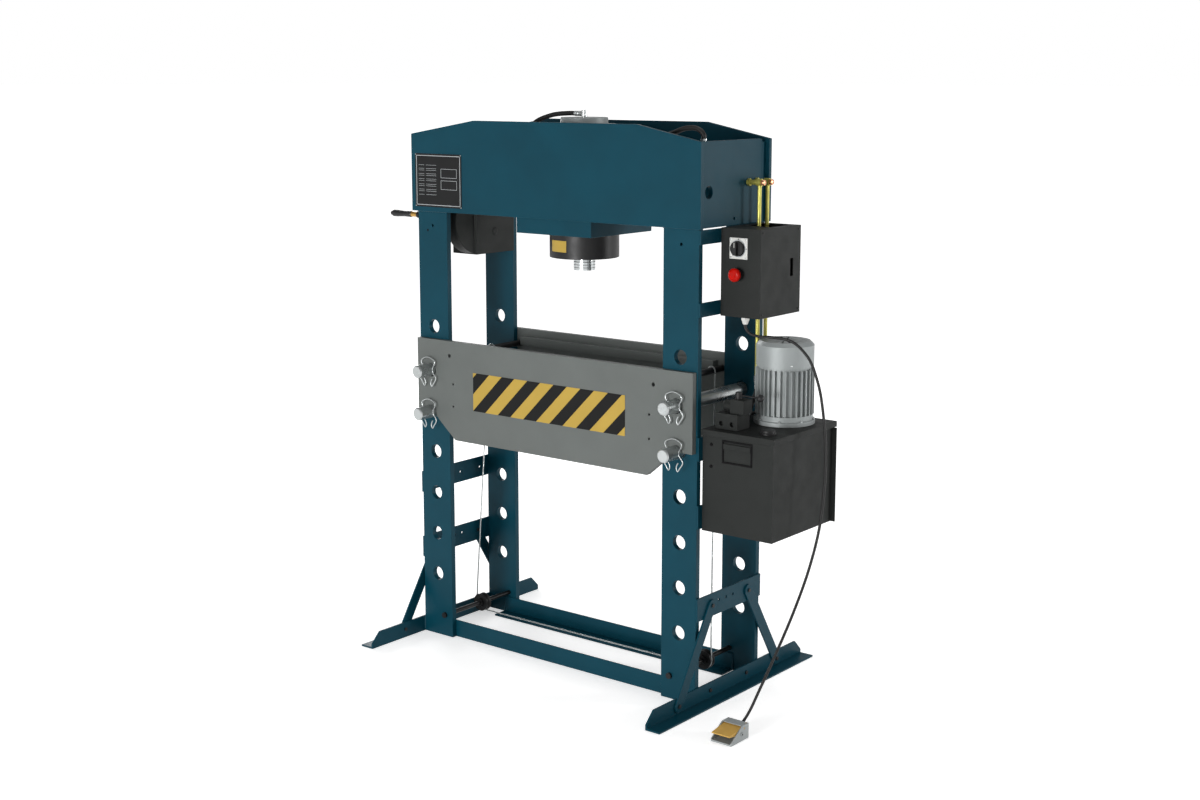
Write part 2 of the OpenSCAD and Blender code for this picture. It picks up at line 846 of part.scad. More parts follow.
module cylinder_cap() {
    color(steel) difference() {
        union() {
            bar_z(barrel_top, cap_top, 0, 0, neck_d);
            bar_z(cap_top, boss_top, 0, 0, boss_d);
        }
        bar_z(barrel_top - eps, elbow_z, 0, 0, elbow_d / 2);
    }
}

// Ram with two fine grooves near the gland, and its piston
module ram() {
    color(steel) difference() {
        union() {
            bar_z(ram_tip, piston_z, 0, 0, ram_d);
            bar_z(piston_z, piston_z + piston_h, 0, 0, spigot_d);
        }
        for (i = [1, 2]) translate([0, 0, barrel_z - 4 - i * 6]) difference() {
            cylinder(h = ram_groove_w, d = ram_d + 2);
            translate([0, 0, -eps]) cylinder(h = ram_groove_w + 2 * eps, d = ram_groove_d);
        }
    }
}
module piston() {
    color(steel) difference() {
        bar_z(piston_z, piston_z + piston_h, 0, 0, bore_d);
        bar_z(piston_z - eps, piston_z + piston_h + eps, 0, 0, spigot_d + 2 * run_gap);
        for (f = [0.25, 0.65]) translate([0, 0, piston_z + f * piston_h]) difference() {
            cylinder(h = 6, d = bore_d + 2);
            translate([0, 0, -eps]) cylinder(h = 8, d = bore_d - 8);
        }
    }
}

// Hoses inside the head and their metal ends
hose_sides = 10;
module head_hoses() {
    color(black) {
        tube(smooth(hose_top_route, 4), hose_d, hose_sides, [0, 1, 0]);
        tube(smooth(hose_side_route, 4), hose_d, hose_sides, [0, 1, 0]);
    }
}
module hose_fittings() {
    port = hose_side_route[0];
    color(steel) {
        bar_z(boss_top, elbow_top, 0, 0, elbow_d);
        bar_x(-14, -elbow_d / 2 + 2, 0, elbow_z, elbow_d - 2);
        difference() {
            bar_x(0, port[0], port[1], port[2], elbow_d);
            bar_z(port[2] - 20, port[2] + 20, 0, 0, neck_d);
        }
        bar_z(crimp_top - crimp_len, crimp_top, crimp_x, crimp_y, elbow_d);
        bar_x(hose_end_x, col_out - 40, pipe_ys[1], banjo_top, elbow_d);
        for (i = [0, 1]) hex_z(pipe_ends[i] - nut_len, pipe_ends[i], pipe_x, pipe_ys[i], nut_w);
    }
}

// Banjo bolts through the right end plate, each with its ring and domed cap
module banjo_fittings() {
    color(zinc) for (y = pipe_ys) {
        bar_x(col_out - 40, pipe_x - banjo_len / 2, y, banjo_top, banjo_shank);
        hex_x(col_out, col_out + 10, y, banjo_top, banjo_d);
        bar_x(pipe_x - banjo_len / 2, pipe_x + banjo_len / 2, y, banjo_top, banjo_d);
        bar_x(pipe_x + banjo_len / 2, pipe_x + banjo_len / 2 + cap_len, y, banjo_top, banjo_shank);
    }
}
module pipes() {
    color(zinc) {
        for (i = [0, 1]) difference() {
            bar_z(pipe_ends[i], banjo_top, pipe_x, pipe_ys[i], pipe_d);
            bar_x(col_out, pipe_x + banjo_len, pipe_ys[i], banjo_top, banjo_d);
        }
        tube(smooth(head_tube_route, 3), pipe_d, hose_sides, [1, 0, 0]);
    }
}
module pump_hoses() {
    color(black) {
        tube(smooth(pump_hose_a_route, 4), pipe_d, hose_sides, [1, 0, 0]);
        tube(smooth(pump_hose_b_route, 4), pipe_d, hose_sides, [1, 0, 0]);
    }
}

// Table plates: upper pins pass through, lower pins sit in half-round saddles
module table_outline() {
    saddle = hole_d / 2;
    difference() {
        polygon([[-table_foot, table_low], [table_foot, table_low], [table_foot + table_slope, pin_low_z],
            [table_half, pin_low_z], [table_half, table_top], [-table_half, table_top], [-table_half, pin_low_z],
            [-table_foot - table_slope, pin_low_z]]);
        for (x = [-col_x, col_x]) for (z = pin_rows) translate([x, z - pin_sink]) circle(r = saddle);
        for (x = [-tie_x, tie_x]) translate([x, tie_z]) circle(d = tie_hole_d);
    }
}
module table_front() {
    color(plate_grey) upright(-table_in, table_t) difference() {
        table_outline();
        for (x = [-dot_x, dot_x]) for (drop = dot_rows) translate([x, table_top - drop]) circle(d = dot_d);
    }
}
module table_rear() {
    color(plate_grey) upright(table_out, table_t) table_outline();
}
module table_ledges() {
    color(plate_grey) front_rear() slab([-ledge_half, table_in - ledge, table_top - ledge_drop - ledge],
        [ledge_half, table_in, table_top - ledge_drop]);
}
module table_rods() {
    color(black) left_right() bar_y(-table_in, table_in, tie_x, tie_z, tie_d);
}

// Support pins with bevelled ends and a groove for the spring clip
module support_pin(x, z) {
    y0 = -table_out - pin_front;
    y1 = table_out + pin_rear;
    translate([x, y0, z]) rotate([-90, 0, 0]) difference() {
        union() {
            cylinder(h = pin_cut, d1 = pin_d - 2 * pin_cut, d2 = pin_d);
            translate([0, 0, pin_cut]) cylinder(h = y1 - y0 - 2 * pin_cut, d = pin_d);
            translate([0, 0, y1 - y0 - pin_cut]) cylinder(h = pin_cut, d1 = pin_d, d2 = pin_d - 2 * pin_cut);
        }
        translate([0, 0, clip_y - y0 - clip_d / 2 - seat_gap]) difference() {
            cylinder(h = clip_d + 2 * seat_gap, d = pin_d + 2);
            translate([0, 0, -eps]) cylinder(h = clip_d + 2 * seat_gap + 2 * eps, d = clip_groove_d);
        }
    }
}
module support_pins() {
    color(steel) for (x = [-col_x, col_x]) for (z = pin_rows) support_pin(x, z);
}

// Bent-wire clip astride a pin: an arch above, a leg on each side and a folded hook below each leg
clip_leg = clip_groove_d / 2 + clip_d / 2 + 2 * seat_gap;
clip_half = [
    [0, clip_arch], [clip_leg * 0.75, clip_arch - 4], [clip_leg + 9, clip_arch - 15], [clip_leg + 6, clip_leg - 4],
    [clip_leg, 10], [clip_leg, -6], [clip_leg + 8, -16], [clip_leg + 14, -24], [clip_leg + 2, -48],
    [clip_leg - 5, -57], [clip_leg - 10, -48], [clip_leg - 8, -38], [clip_leg - 3, -30]];
clip_route = let (n = len(clip_half))
    concat([for (i = [n - 1 : -1 : 1]) [-clip_half[i][0], 0, clip_half[i][1]]],
        [for (p = clip_half) [p[0], 0, p[1]]]);
module pin_clips() {
    color(steel) for (x = [-col_x, col_x]) for (z = pin_rows)
        translate([x, clip_y, z]) tube(smooth(clip_route, 2), clip_d, 6, [0, 1, 0]);
}

// Axles through both columns, with fixed collars beside the pulleys
module pulley_axle() {
    inner = pulley_w / 2 + seat_gap;
    bar_y(-y_out - axle_head, y_out + axle_head, axle_x, axle_z, axle_d);
    for (y = [-y_out - axle_head, y_out]) bar_y(y, y + axle_head, axle_x, axle_z, axle_head_d);
    for (y = [rope_y - inner - collar_w, rope_y + inner]) bar_y(y, y + collar_w, axle_x, axle_z, collar_d);
}
module pulley_axles() {
    color(black) left_right() pulley_axle();
}

// Grooved rope pulley
module pulley(x) {
    rim = pulley_d / 2;
    half = pulley_w / 2;
    foot_half = rope_d / 2 + seat_gap;
    mouth_half = half - 3;
    color(black) translate([x, rope_y, axle_z]) rotate([-90, 0, 0]) rotate_extrude() polygon([
        [axle_d / 2 + run_gap, -half], [rim, -half], [rim, -mouth_half], [groove_r, -foot_half],
        [groove_r, foot_half], [rim, mouth_half], [rim, half], [axle_d / 2 + run_gap, half]]);
}
module pulley_left() {
    pulley(-axle_x);
}
module pulley_right() {
    pulley(axle_x);
}

// Wire rope: hitched round each tie rod, down to the pulleys and along the base
function hitch(side, y) = [for (a = [-60 : 30 : 180])
    [side * (tie_x - tie_rope_r * cos(a)), y, tie_z + tie_rope_r * sin(a)]];
function wrap(side) = [for (a = [0 : 15 : 90])
    [side * (axle_x + rope_r * cos(a)), rope_y, axle_z - rope_r * sin(a)]];
function backwards(list) = [for (i = [len(list) - 1 : -1 : 0]) list[i]];
rope_lift = 60;
rope_tail = 40;
function rope_side(side, y) = concat(
    hitch(side, y),
    [[side * (tie_x + tie_rope_r), y, tie_z - rope_tail]],
    [[side * (axle_x + rope_r - 3), rope_y, axle_z + rope_lift]],
    wrap(side));
module rope() {
    color(steel) tube(concat(rope_side(-1, rope_y), backwards(rope_side(1, rope_end_y))), rope_d, 8, [0, 1, 0]);
}

// Winch housing, open below, with a round gear case on its right side
module winch_housing() {
    color(black) difference() {
        union() {
            slab([winch_x0, winch_y0, winch_z0], [winch_x1, winch_y1, head_z]);
            bar_x(gear_case_x - gear_case_w, gear_case_x, gear_case_y, gear_case_z, gear_case_d);
        }
        slab([winch_x0 + winch_wall, winch_y0 + winch_wall, winch_z0 - eps],
            [winch_x1 - winch_wall, winch_y1 - winch_wall, head_z - winch_wall]);
        bar_x(winch_x0 - eps, winch_x1 + eps, winch_shaft_y, winch_shaft_z, winch_shaft_d + 2 * run_gap);
    }
}

// Rope drum on the winch shaft, which carries the crank
module winch_drum() {
    x0 = winch_x0 + winch_wall + drum_gap;
    x1 = winch_x1 - winch_wall - drum_gap;
    color(steel) {
        bar_x(crank_x - crank_t, winch_x1, winch_shaft_y, winch_shaft_z, winch_shaft_d);
        bar_x(x0, x1, winch_shaft_y, winch_shaft_z, drum_d);
        for (x = [x0, x1 - drum_flange_t])
            bar_x(x, x + drum_flange_t, winch_shaft_y, winch_shaft_z, drum_flange_d);
    }
}
module crank_arm() {
    color(black) difference() {
        union() {
            sideways(crank_x - crank_t, crank_t)
                translate([winch_shaft_y, winch_shaft_z]) rotate(180 - crank_angle) union() {
                    translate([0, -crank_w / 2]) square([crank_reach, crank_w]);
                    circle(d = crank_hub_d);
                    translate([crank_reach, 0]) circle(d = crank_w);
                }
            bar_x(grip_x0 - spindle_tip, crank_x - crank_t, crank_y, crank_z, spindle_d);
            bar_x(grip_x0 - spindle_tip, grip_x0 - seat_gap, crank_y, crank_z, spindle_d + 6);
        }
        bar_x(crank_x - crank_t - eps, crank_x + eps, winch_shaft_y, winch_shaft_z, winch_shaft_d + 2 * run_gap);
    }
}

// Grip that turns on the crank's spindle, with a waist and a brass ferrule
module crank_grip() {
    r = grip_d / 2;
    bore = spindle_d / 2 + run_gap;
    color(black) translate([grip_x0, crank_y, crank_z]) rotate([0, 90, 0]) rotate_extrude() polygon([
        [bore, 0], [r - 3, 0], [r, 5], [r, grip_len * 0.25], [r - 2, grip_len * 0.6], [r - 1, grip_len - 4],
        [r - 3, grip_len], [bore, grip_len]]);
}
module grip_ferrule() {
    color([0.72, 0.56, 0.30]) difference() {
        bar_x(grip_x1, grip_x1 + ferrule_len, crank_y, crank_z, grip_d - 6);
        bar_x(grip_x1 - eps, grip_x1 + ferrule_len + eps, crank_y, crank_z, spindle_d + 2 * run_gap);
    }
}

// Oil tank, a folded sheet box with a rear flange and a pull recess
module tank() {
    color(black) difference() {
        union() {
            slab([side_x, tank_y0, tank_z], [tank_x1, tank_y1, tank_top]);
            slab([side_x, tank_y1 - tank_wall, tank_z], [tank_x1 + tank_flange, tank_y1, tank_top - lid_skirt - eps]);
        }
        slab([side_x + tank_wall, tank_y0 + tank_wall, tank_z + tank_wall],
            [tank_x1 - tank_wall, tank_y1 - tank_wall, tank_top + eps]);
        translate([handle_x, 0, handle_z])
            slab([-handle_w / 2, tank_y0 - eps, -handle_h / 2], [handle_w / 2, tank_y0 + tank_wall / 2, handle_h / 2]);
    }
}
module tank_lid() {
    x1 = tank_x1 + lid_over;
    color(black) difference() {
        slab([side_x, tank_y0 - lid_over, tank_top - lid_skirt], [x1, tank_y1 + lid_over, lid_top]);
        slab([side_x - eps, tank_y0 - lid_over + tank_wall, tank_top - lid_skirt - eps],
            [x1 - tank_wall, tank_y1 + lid_over - tank_wall, tank_top]);
        bar_z(tank_top - eps, lid_top + eps, motor_x, motor_y, shaft_d + 8);
    }
}
module filler_cap() {
    color(black) {
        bar_z(lid_top, lid_top + filler_h * 0.4, filler_x, filler_y, filler_d + 8);
        bar_z(lid_top + filler_h * 0.4, lid_top + filler_h, filler_x, filler_y, filler_d);
    }
}

// Vertical motor: flange, finned tube with its upper shield, fan cowl and the rotor inside
module motor_flange() {
    color(steel) difference() {
        union() {
            bar_z(lid_top, lid_top + flange_h * 0.45, motor_x, motor_y, flange_d);
            bar_z(lid_top, motor_z, motor_x, motor_y, flange_d - 14);
        }
        bar_z(lid_top - eps, motor_z + eps, motor_x, motor_y, shaft_d + 2 * run_gap);
    }
}
module motor_section() {
    reach = motor_d / 2 + fin_h;
    circle(d = motor_d);
    for (i = [0 : fin_n - 1]) rotate(i * 360 / fin_n) translate([0, -fin_t / 2]) square([reach, fin_t]);
}
module motor_body() {
    color(steel) translate([motor_x, motor_y, 0]) difference() {
        union() {
            translate([0, 0, motor_z]) linear_extrude(motor_h - 26) motor_section();
            bar_z(motor_z, motor_top, 0, 0, motor_d);
        }
        bar_z(motor_z - eps, motor_top - shield_t, 0, 0, stator_bore);
        bar_z(motor_z, motor_top + eps, 0, 0, shaft_d + 2 * run_gap);
    }
}
module motor_cowl() {
    brim = 18;
    color(steel) translate([motor_x, motor_y, 0]) difference() {
        union() {
            bar_z(motor_top - brim, cowl_top - 12, 0, 0, cowl_d);
            translate([0, 0, cowl_top - 12]) cylinder(h = 12, d1 = cowl_d, d2 = cowl_d - 24);
        }
        bar_z(motor_top - brim - eps, motor_top, 0, 0, motor_d);
        bar_z(motor_top - eps, cowl_top - 12 - cowl_wall, 0, 0, cowl_d - 2 * cowl_wall);
        for (i = [0 : vent_n - 1]) rotate(i * 360 / vent_n)
            slab([shaft_d, -3, cowl_top - 12 - cowl_wall - eps], [cowl_d / 2 - 24, 3, cowl_top + eps]);
    }
}
module motor_rotor() {
    color(steel) translate([motor_x, motor_y, 0]) {
        bar_z(tank_top - pump_h / 2, fan_z + fan_t, 0, 0, shaft_d);
        bar_z(motor_z + rotor_room, motor_top - shield_t - rotor_room, 0, 0, rotor_d);
        bar_z(fan_z, fan_z + fan_t, 0, 0, fan_d);
        for (i = [0 : fan_blades - 1]) rotate(i * 360 / fan_blades)
            slab([shaft_d / 2, -2, fan_z], [fan_d / 2, 2, fan_z + fan_t + 14]);
    }
}
module pump() {
    color(steel) translate([motor_x, motor_y, 0]) difference() {
        bar_z(tank_top - pump_h, tank_top, 0, 0, pump_d);
        bar_z(tank_top - pump_h / 2 - seat_gap, tank_top + eps, 0, 0, shaft_d + 2 * run_gap);
    }
}

// Valve block with two ports in front, the hand valve on it and its lever
module valve_block() {
    color(black) difference() {
        slab([block_x - block_w / 2, block_y - block_d / 2, lid_top],
            [block_x + block_w / 2, block_y + block_d / 2, block_top]);
        for (x = [-20, 20])
            bar_y(block_y - block_d / 2 - eps, block_y - block_d / 2 + 14, block_x + x, port_z, port_d);
    }
}
module valve_body() {
    z = block_top + side_valve_d / 2 + 2;
    color(black) difference() {
        union() {
            slab([valve_x - valve_w / 2, block_y - valve_d / 2, block_top],
                [valve_x + valve_w / 2, block_y + valve_d / 2, valve_top]);
            bar_x(valve_x - valve_w / 2 - side_valve_len, valve_x - valve_w / 2, block_y, z, side_valve_d);
        }
        bar_z(valve_top - lever_stem_h - seat_gap, valve_top + eps, lever_x, block_y, lever_stem_d + 2 * run_gap);
    }
}
module valve_lever() {
    z0 = valve_top + seat_gap;
    rod_z = z0 + lever_hub_h / 2;
    color(black) {
        bar_z(valve_top - lever_stem_h, z0 + lever_hub_h, lever_x, block_y, lever_stem_d);
        bar_z(z0, z0 + lever_hub_h, lever_x, block_y, lever_hub_d);
        bar_x(lever_x, lever_x + lever_reach, block_y, rod_z, lever_rod_d);
        translate([lever_x + lever_reach, block_y, rod_z]) sphere(d = ball_d);
    }
}

// Control box, a sheet box that the pipes pass through
module control_box() {
    pipe_lo = [pipe_x - pipe_room, pipe_ys[0] - pipe_room, box_z0 - eps];
    pipe_hi = [pipe_x + pipe_room, pipe_ys[1] + pipe_room, box_z1 + eps];
    color(black) difference() {
        slab([box_x0, box_y0, box_z0], [box_x1, box_y1, box_z1]);
        slab([box_x0 + box_wall, box_y0 + box_wall, box_z0 + box_wall],
            [box_x1 - box_wall, box_y1 - box_wall, box_z1 - box_wall]);
        slab(pipe_lo, pipe_hi);
        slab([pipe_lo[0], box_y0 + 100, box_z1 - box_wall - eps], [box_x1 - 30, pipe_hi[1], box_z1 + eps]);
        for (z = [switch_z, stop_z])
            bar_y(box_y0 - eps, box_y0 + box_wall + eps, panel_x, box_z0 + z, stem_d + 2 * run_gap);
        slab([box_x1 - box_wall - eps, box_y1 - 60, box_z0 + 120],
            [box_x1 + eps, box_y1 - 60 + slot_w, box_z0 + 120 + slot_h]);
    }
}
module switch_plate() {
    half = switch_plate_w / 2;
    z = box_z0 + switch_z;
    color([0.85, 0.85, 0.84]) difference() {
        slab([panel_x - half, box_y0 - switch_plate_t, z - half], [panel_x + half, box_y0, z + half]);
        bar_y(box_y0 - switch_plate_t - eps, box_y0 + eps, panel_x, z, stem_d + 2 * run_gap);
    }
}
module switch_knob() {
    face = box_y0 - switch_plate_t - seat_gap;
    z = box_z0 + switch_z;
    color(black) {
        bar_y(face, box_y0 + stem_len, panel_x, z, stem_d);
        bar_y(face - knob_h / 2, face, panel_x, z, knob_d);
        slab([panel_x - knob_grip_w / 2, face - knob_h, z - knob_d / 2 + 3],
            [panel_x + knob_grip_w / 2, face - knob_h / 2, z + knob_d / 2 - 3]);
    }
}
module stop_collar() {
    z = box_z0 + stop_z;
    color(black) difference() {
        bar_y(box_y0 - collar_stop_h, box_y0, panel_x, z, collar_stop_d);
        bar_y(box_y0 - collar_stop_h - eps, box_y0 + eps, panel_x, z, stem_d + 2 * run_gap);
    }
}

// Mushroom button that stands off its collar by its travel
module stop_button() {
    face = box_y0 - collar_stop_h - stop_travel - seat_gap;
    color([0.75, 0.10, 0.02]) translate([panel_x, face, box_z0 + stop_z]) rotate([90, 0, 0]) {
        cylinder(h = stop_h * 0.55, d = stop_d);
        translate([0, 0, stop_h * 0.55]) cylinder(h = stop_h * 0.45, d1 = stop_d, d2 = stop_d - 14);
        translate([0, 0, face - box_y0 - stem_len]) cylinder(h = box_y0 + stem_len - face, d = stem_d);
    }
}
module cable_gland() {
    color([0.75, 0.75, 0.74]) {
        hex_z(box_z0 - 8, box_z0, gland_x, gland_y, cable_gland_d + 4);
        translate([gland_x, gland_y, cable_exit]) cylinder(h = cable_gland_h - 8, d1 = 15, d2 = cable_gland_d);
    }
}

// Foot pedal: a cheeked housing and a sprung plate that tips about its hinge pin
module pedal_cheek() {
    polygon([[pedal_y0, 0], [pedal_y1, 0], [pedal_y1, pedal_h], [pedal_y1 - pedal_hood, pedal_h],
        [pedal_y0, pedal_toe_h]]);
}
module pedal_housing() {
    color([0.66, 0.68, 0.68]) difference() {
        union() {
            for (x = [pedal_x0, pedal_x1 - pedal_wall]) sideways(x, pedal_wall) pedal_cheek();
            slab([pedal_x0, pedal_y0, 0], [pedal_x1, pedal_y1, pedal_base_t]);
            slab([pedal_x0, pedal_y1 - pedal_wall, 0], [pedal_x1, pedal_y1, pedal_h]);
            slab([pedal_x0, pedal_y1 - pedal_hood, pedal_h - pedal_hood_t], [pedal_x1, pedal_y1, pedal_h]);
        }
        bar_x(pedal_x0 - eps, pedal_x1 + eps, hinge_y, hinge_z, hinge_d + 2 * run_gap);
    }
}
module pedal_plate() {
    x0 = pedal_x0 + pedal_wall + pedal_gap;
    x1 = pedal_x1 - pedal_wall - pedal_gap;
    color(yellow) {
        bar_x(pedal_x0, pedal_x1, hinge_y, hinge_z, hinge_d);
        bar_x(x0, x1, hinge_y, hinge_z, hinge_d + 6);
        translate([0, hinge_y, hinge_z]) rotate([pedal_tilt, 0, 0])
            slab([x0, -pedal_reach, 2], [x1, 4, 2 + pedal_plate_t]);
    }
}
module pedal_cable() {
    color(black) tube(smooth(cable_route, 3), cable_d, 8, [0, 1, 0]);
}

front_columns();
rear_columns();
head_front();
head_rear();
head_ends();
head_ribs();
feet();
base_rails();
side_straps();
tank_straps();
box_straps();
braces();
frame_bolts();
cylinder_mount();
barrel();
ring_nut();
rod_gland();
cylinder_cap();
ram();
piston();
head_hoses();
hose_fittings();
banjo_fittings();
pipes();
pump_hoses();
table_front();
table_rear();
table_ledges();
table_rods();
support_pins();
pin_clips();
pulley_axles();
pulley_left();
pulley_right();
rope();
winch_housing();
winch_drum();
crank_arm();
crank_grip();
grip_ferrule();
tank();
tank_lid();
filler_cap();
motor_flange();
motor_body();
motor_cowl();
motor_rotor();
pump();
valve_block();
valve_body();
valve_lever();
control_box();
switch_plate();
switch_knob();
stop_collar();
stop_button();
cable_gland();
pedal_housing();
pedal_plate();
pedal_cable();
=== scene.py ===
"""Looks of the workshop press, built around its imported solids. Metres, in the part's own frame."""
import bmesh
import bpy
import json
import math
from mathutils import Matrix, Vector


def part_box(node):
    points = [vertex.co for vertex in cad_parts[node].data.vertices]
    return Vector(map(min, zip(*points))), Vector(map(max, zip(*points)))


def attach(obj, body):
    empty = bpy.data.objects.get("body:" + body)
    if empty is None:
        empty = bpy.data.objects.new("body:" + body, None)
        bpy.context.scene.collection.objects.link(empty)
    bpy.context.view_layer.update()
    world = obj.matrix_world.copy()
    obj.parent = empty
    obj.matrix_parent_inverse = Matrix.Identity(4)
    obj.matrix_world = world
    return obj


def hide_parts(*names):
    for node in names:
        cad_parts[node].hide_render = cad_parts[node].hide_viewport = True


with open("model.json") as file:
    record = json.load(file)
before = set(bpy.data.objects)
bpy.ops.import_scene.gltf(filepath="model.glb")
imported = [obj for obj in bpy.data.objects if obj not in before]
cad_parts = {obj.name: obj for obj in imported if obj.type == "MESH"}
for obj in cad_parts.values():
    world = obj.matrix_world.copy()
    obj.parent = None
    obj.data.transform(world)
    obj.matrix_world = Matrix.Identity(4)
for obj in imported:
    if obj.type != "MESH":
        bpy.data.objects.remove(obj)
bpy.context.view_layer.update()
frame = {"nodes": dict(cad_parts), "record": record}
nodes = frame["nodes"]
MM = 0.001
FRONT = (0, -1, 0)
RIGHT = (1, 0, 0)
UP = (0, 0, 1)


# Camera at the photograph's viewing angle
LENS_MM = 50.466
SENSOR_MM = 36
CAMERA_AZIMUTH = math.radians(38.411)
CAMERA_ELEVATION = math.radians(9.256)
CAMERA_PLACE = (3.5648, -4.4115, 1.9981)
CAMERA_SHIFT = -0.0417


def make_camera():
    data = bpy.data.cameras.new("camera")
    data.lens = LENS_MM
    data.sensor_width = SENSOR_MM
    data.shift_y = CAMERA_SHIFT
    camera = bpy.data.objects.new("camera", data)
    level = math.cos(CAMERA_ELEVATION)
    towards = Vector((-math.sin(CAMERA_AZIMUTH) * level, math.cos(CAMERA_AZIMUTH) * level,
                      -math.sin(CAMERA_ELEVATION)))
    camera.location = CAMERA_PLACE
    camera.rotation_euler = towards.to_track_quat("-Z", "Y").to_euler()
    bpy.context.scene.collection.objects.link(camera)
    bpy.context.scene.camera = camera


make_camera()


# Materials
NOISE_MIDDLE = (0.3, 0.7)
PATCHES_PER_MOTTLE = 3
GRAIN_DETAIL = 3.0
GRAIN_STRENGTH = 0.6


def srgb(*levels):
    """Linear colour from 0 to 255 levels as a screen shows them."""
    share = [v / 255 for v in levels]
    return tuple(s / 12.92 if s <= 0.04045 else ((s + 0.055) / 1.055) ** 2.4 for s in share)


def shade(color, k):
    return tuple(min(1.0, c * k) for c in color) + (1.0,)


def noise(tree, scale, detail=4.0, stretch=(1, 1, 1)):
    """Noise in the object's own metres, with its rise and fall as a value."""
    coord = tree.nodes.new("ShaderNodeTexCoord")
    mapping = tree.nodes.new("ShaderNodeMapping")
    mapping.inputs["Scale"].default_value = stretch
    texture = tree.nodes.new("ShaderNodeTexNoise")
    texture.inputs["Scale"].default_value = scale
    texture.inputs["Detail"].default_value = detail
    tree.links.new(coord.outputs["Object"], mapping.inputs["Vector"])
    tree.links.new(mapping.outputs["Vector"], texture.inputs["Vector"])
    return texture.outputs["Fac"]


def change(tree, value, start, end, low, high, kind="LINEAR"):
    """Changes from low to high while the value goes from start to end."""
    node = tree.nodes.new("ShaderNodeMapRange")
    node.interpolation_type = kind
    node.inputs["From Min"].default_value = start
    node.inputs["From Max"].default_value = end
    node.inputs["To Min"].default_value = low
    node.inputs["To Max"].default_value = high
    tree.links.new(value, node.inputs["Value"])
    return node.outputs["Result"]


def surface(name, color, roughness, metallic=0.0, mottle=0.08, mottle_scale=7, rough_spread=0.06,
            grain_scale=700, grain_depth=0.0001, stretch=(1, 1, 1), sheen=0.3):
    """Surface with a slow change of tone, patchy gloss and a fine grain."""
    material = bpy.data.materials.new(name)
    material.use_nodes = True
    tree = material.node_tree
    shader = tree.nodes["Principled BSDF"]
    shader.inputs["Metallic"].default_value = metallic
    shader.inputs["Specular IOR Level"].default_value = sheen
    ramp = tree.nodes.new("ShaderNodeValToRGB")
    for stop, position, tone in zip(ramp.color_ramp.elements, NOISE_MIDDLE, (1 - mottle, 1 + mottle)):
        stop.position = position
        stop.color = shade(color, tone)
    tree.links.new(noise(tree, mottle_scale), ramp.inputs["Fac"])
    tree.links.new(ramp.outputs["Color"], shader.inputs["Base Color"])
    patches = noise(tree, mottle_scale * PATCHES_PER_MOTTLE)
    gloss = change(tree, patches, *NOISE_MIDDLE, roughness - rough_spread, roughness + rough_spread)
    tree.links.new(gloss, shader.inputs["Roughness"])
    bump = tree.nodes.new("ShaderNodeBump")
    bump.inputs["Strength"].default_value = GRAIN_STRENGTH
    bump.inputs["Distance"].default_value = grain_depth
    tree.links.new(noise(tree, grain_scale, GRAIN_DETAIL, stretch), bump.inputs["Height"])
    tree.links.new(bump.outputs["Normal"], shader.inputs["Normal"])
    return material


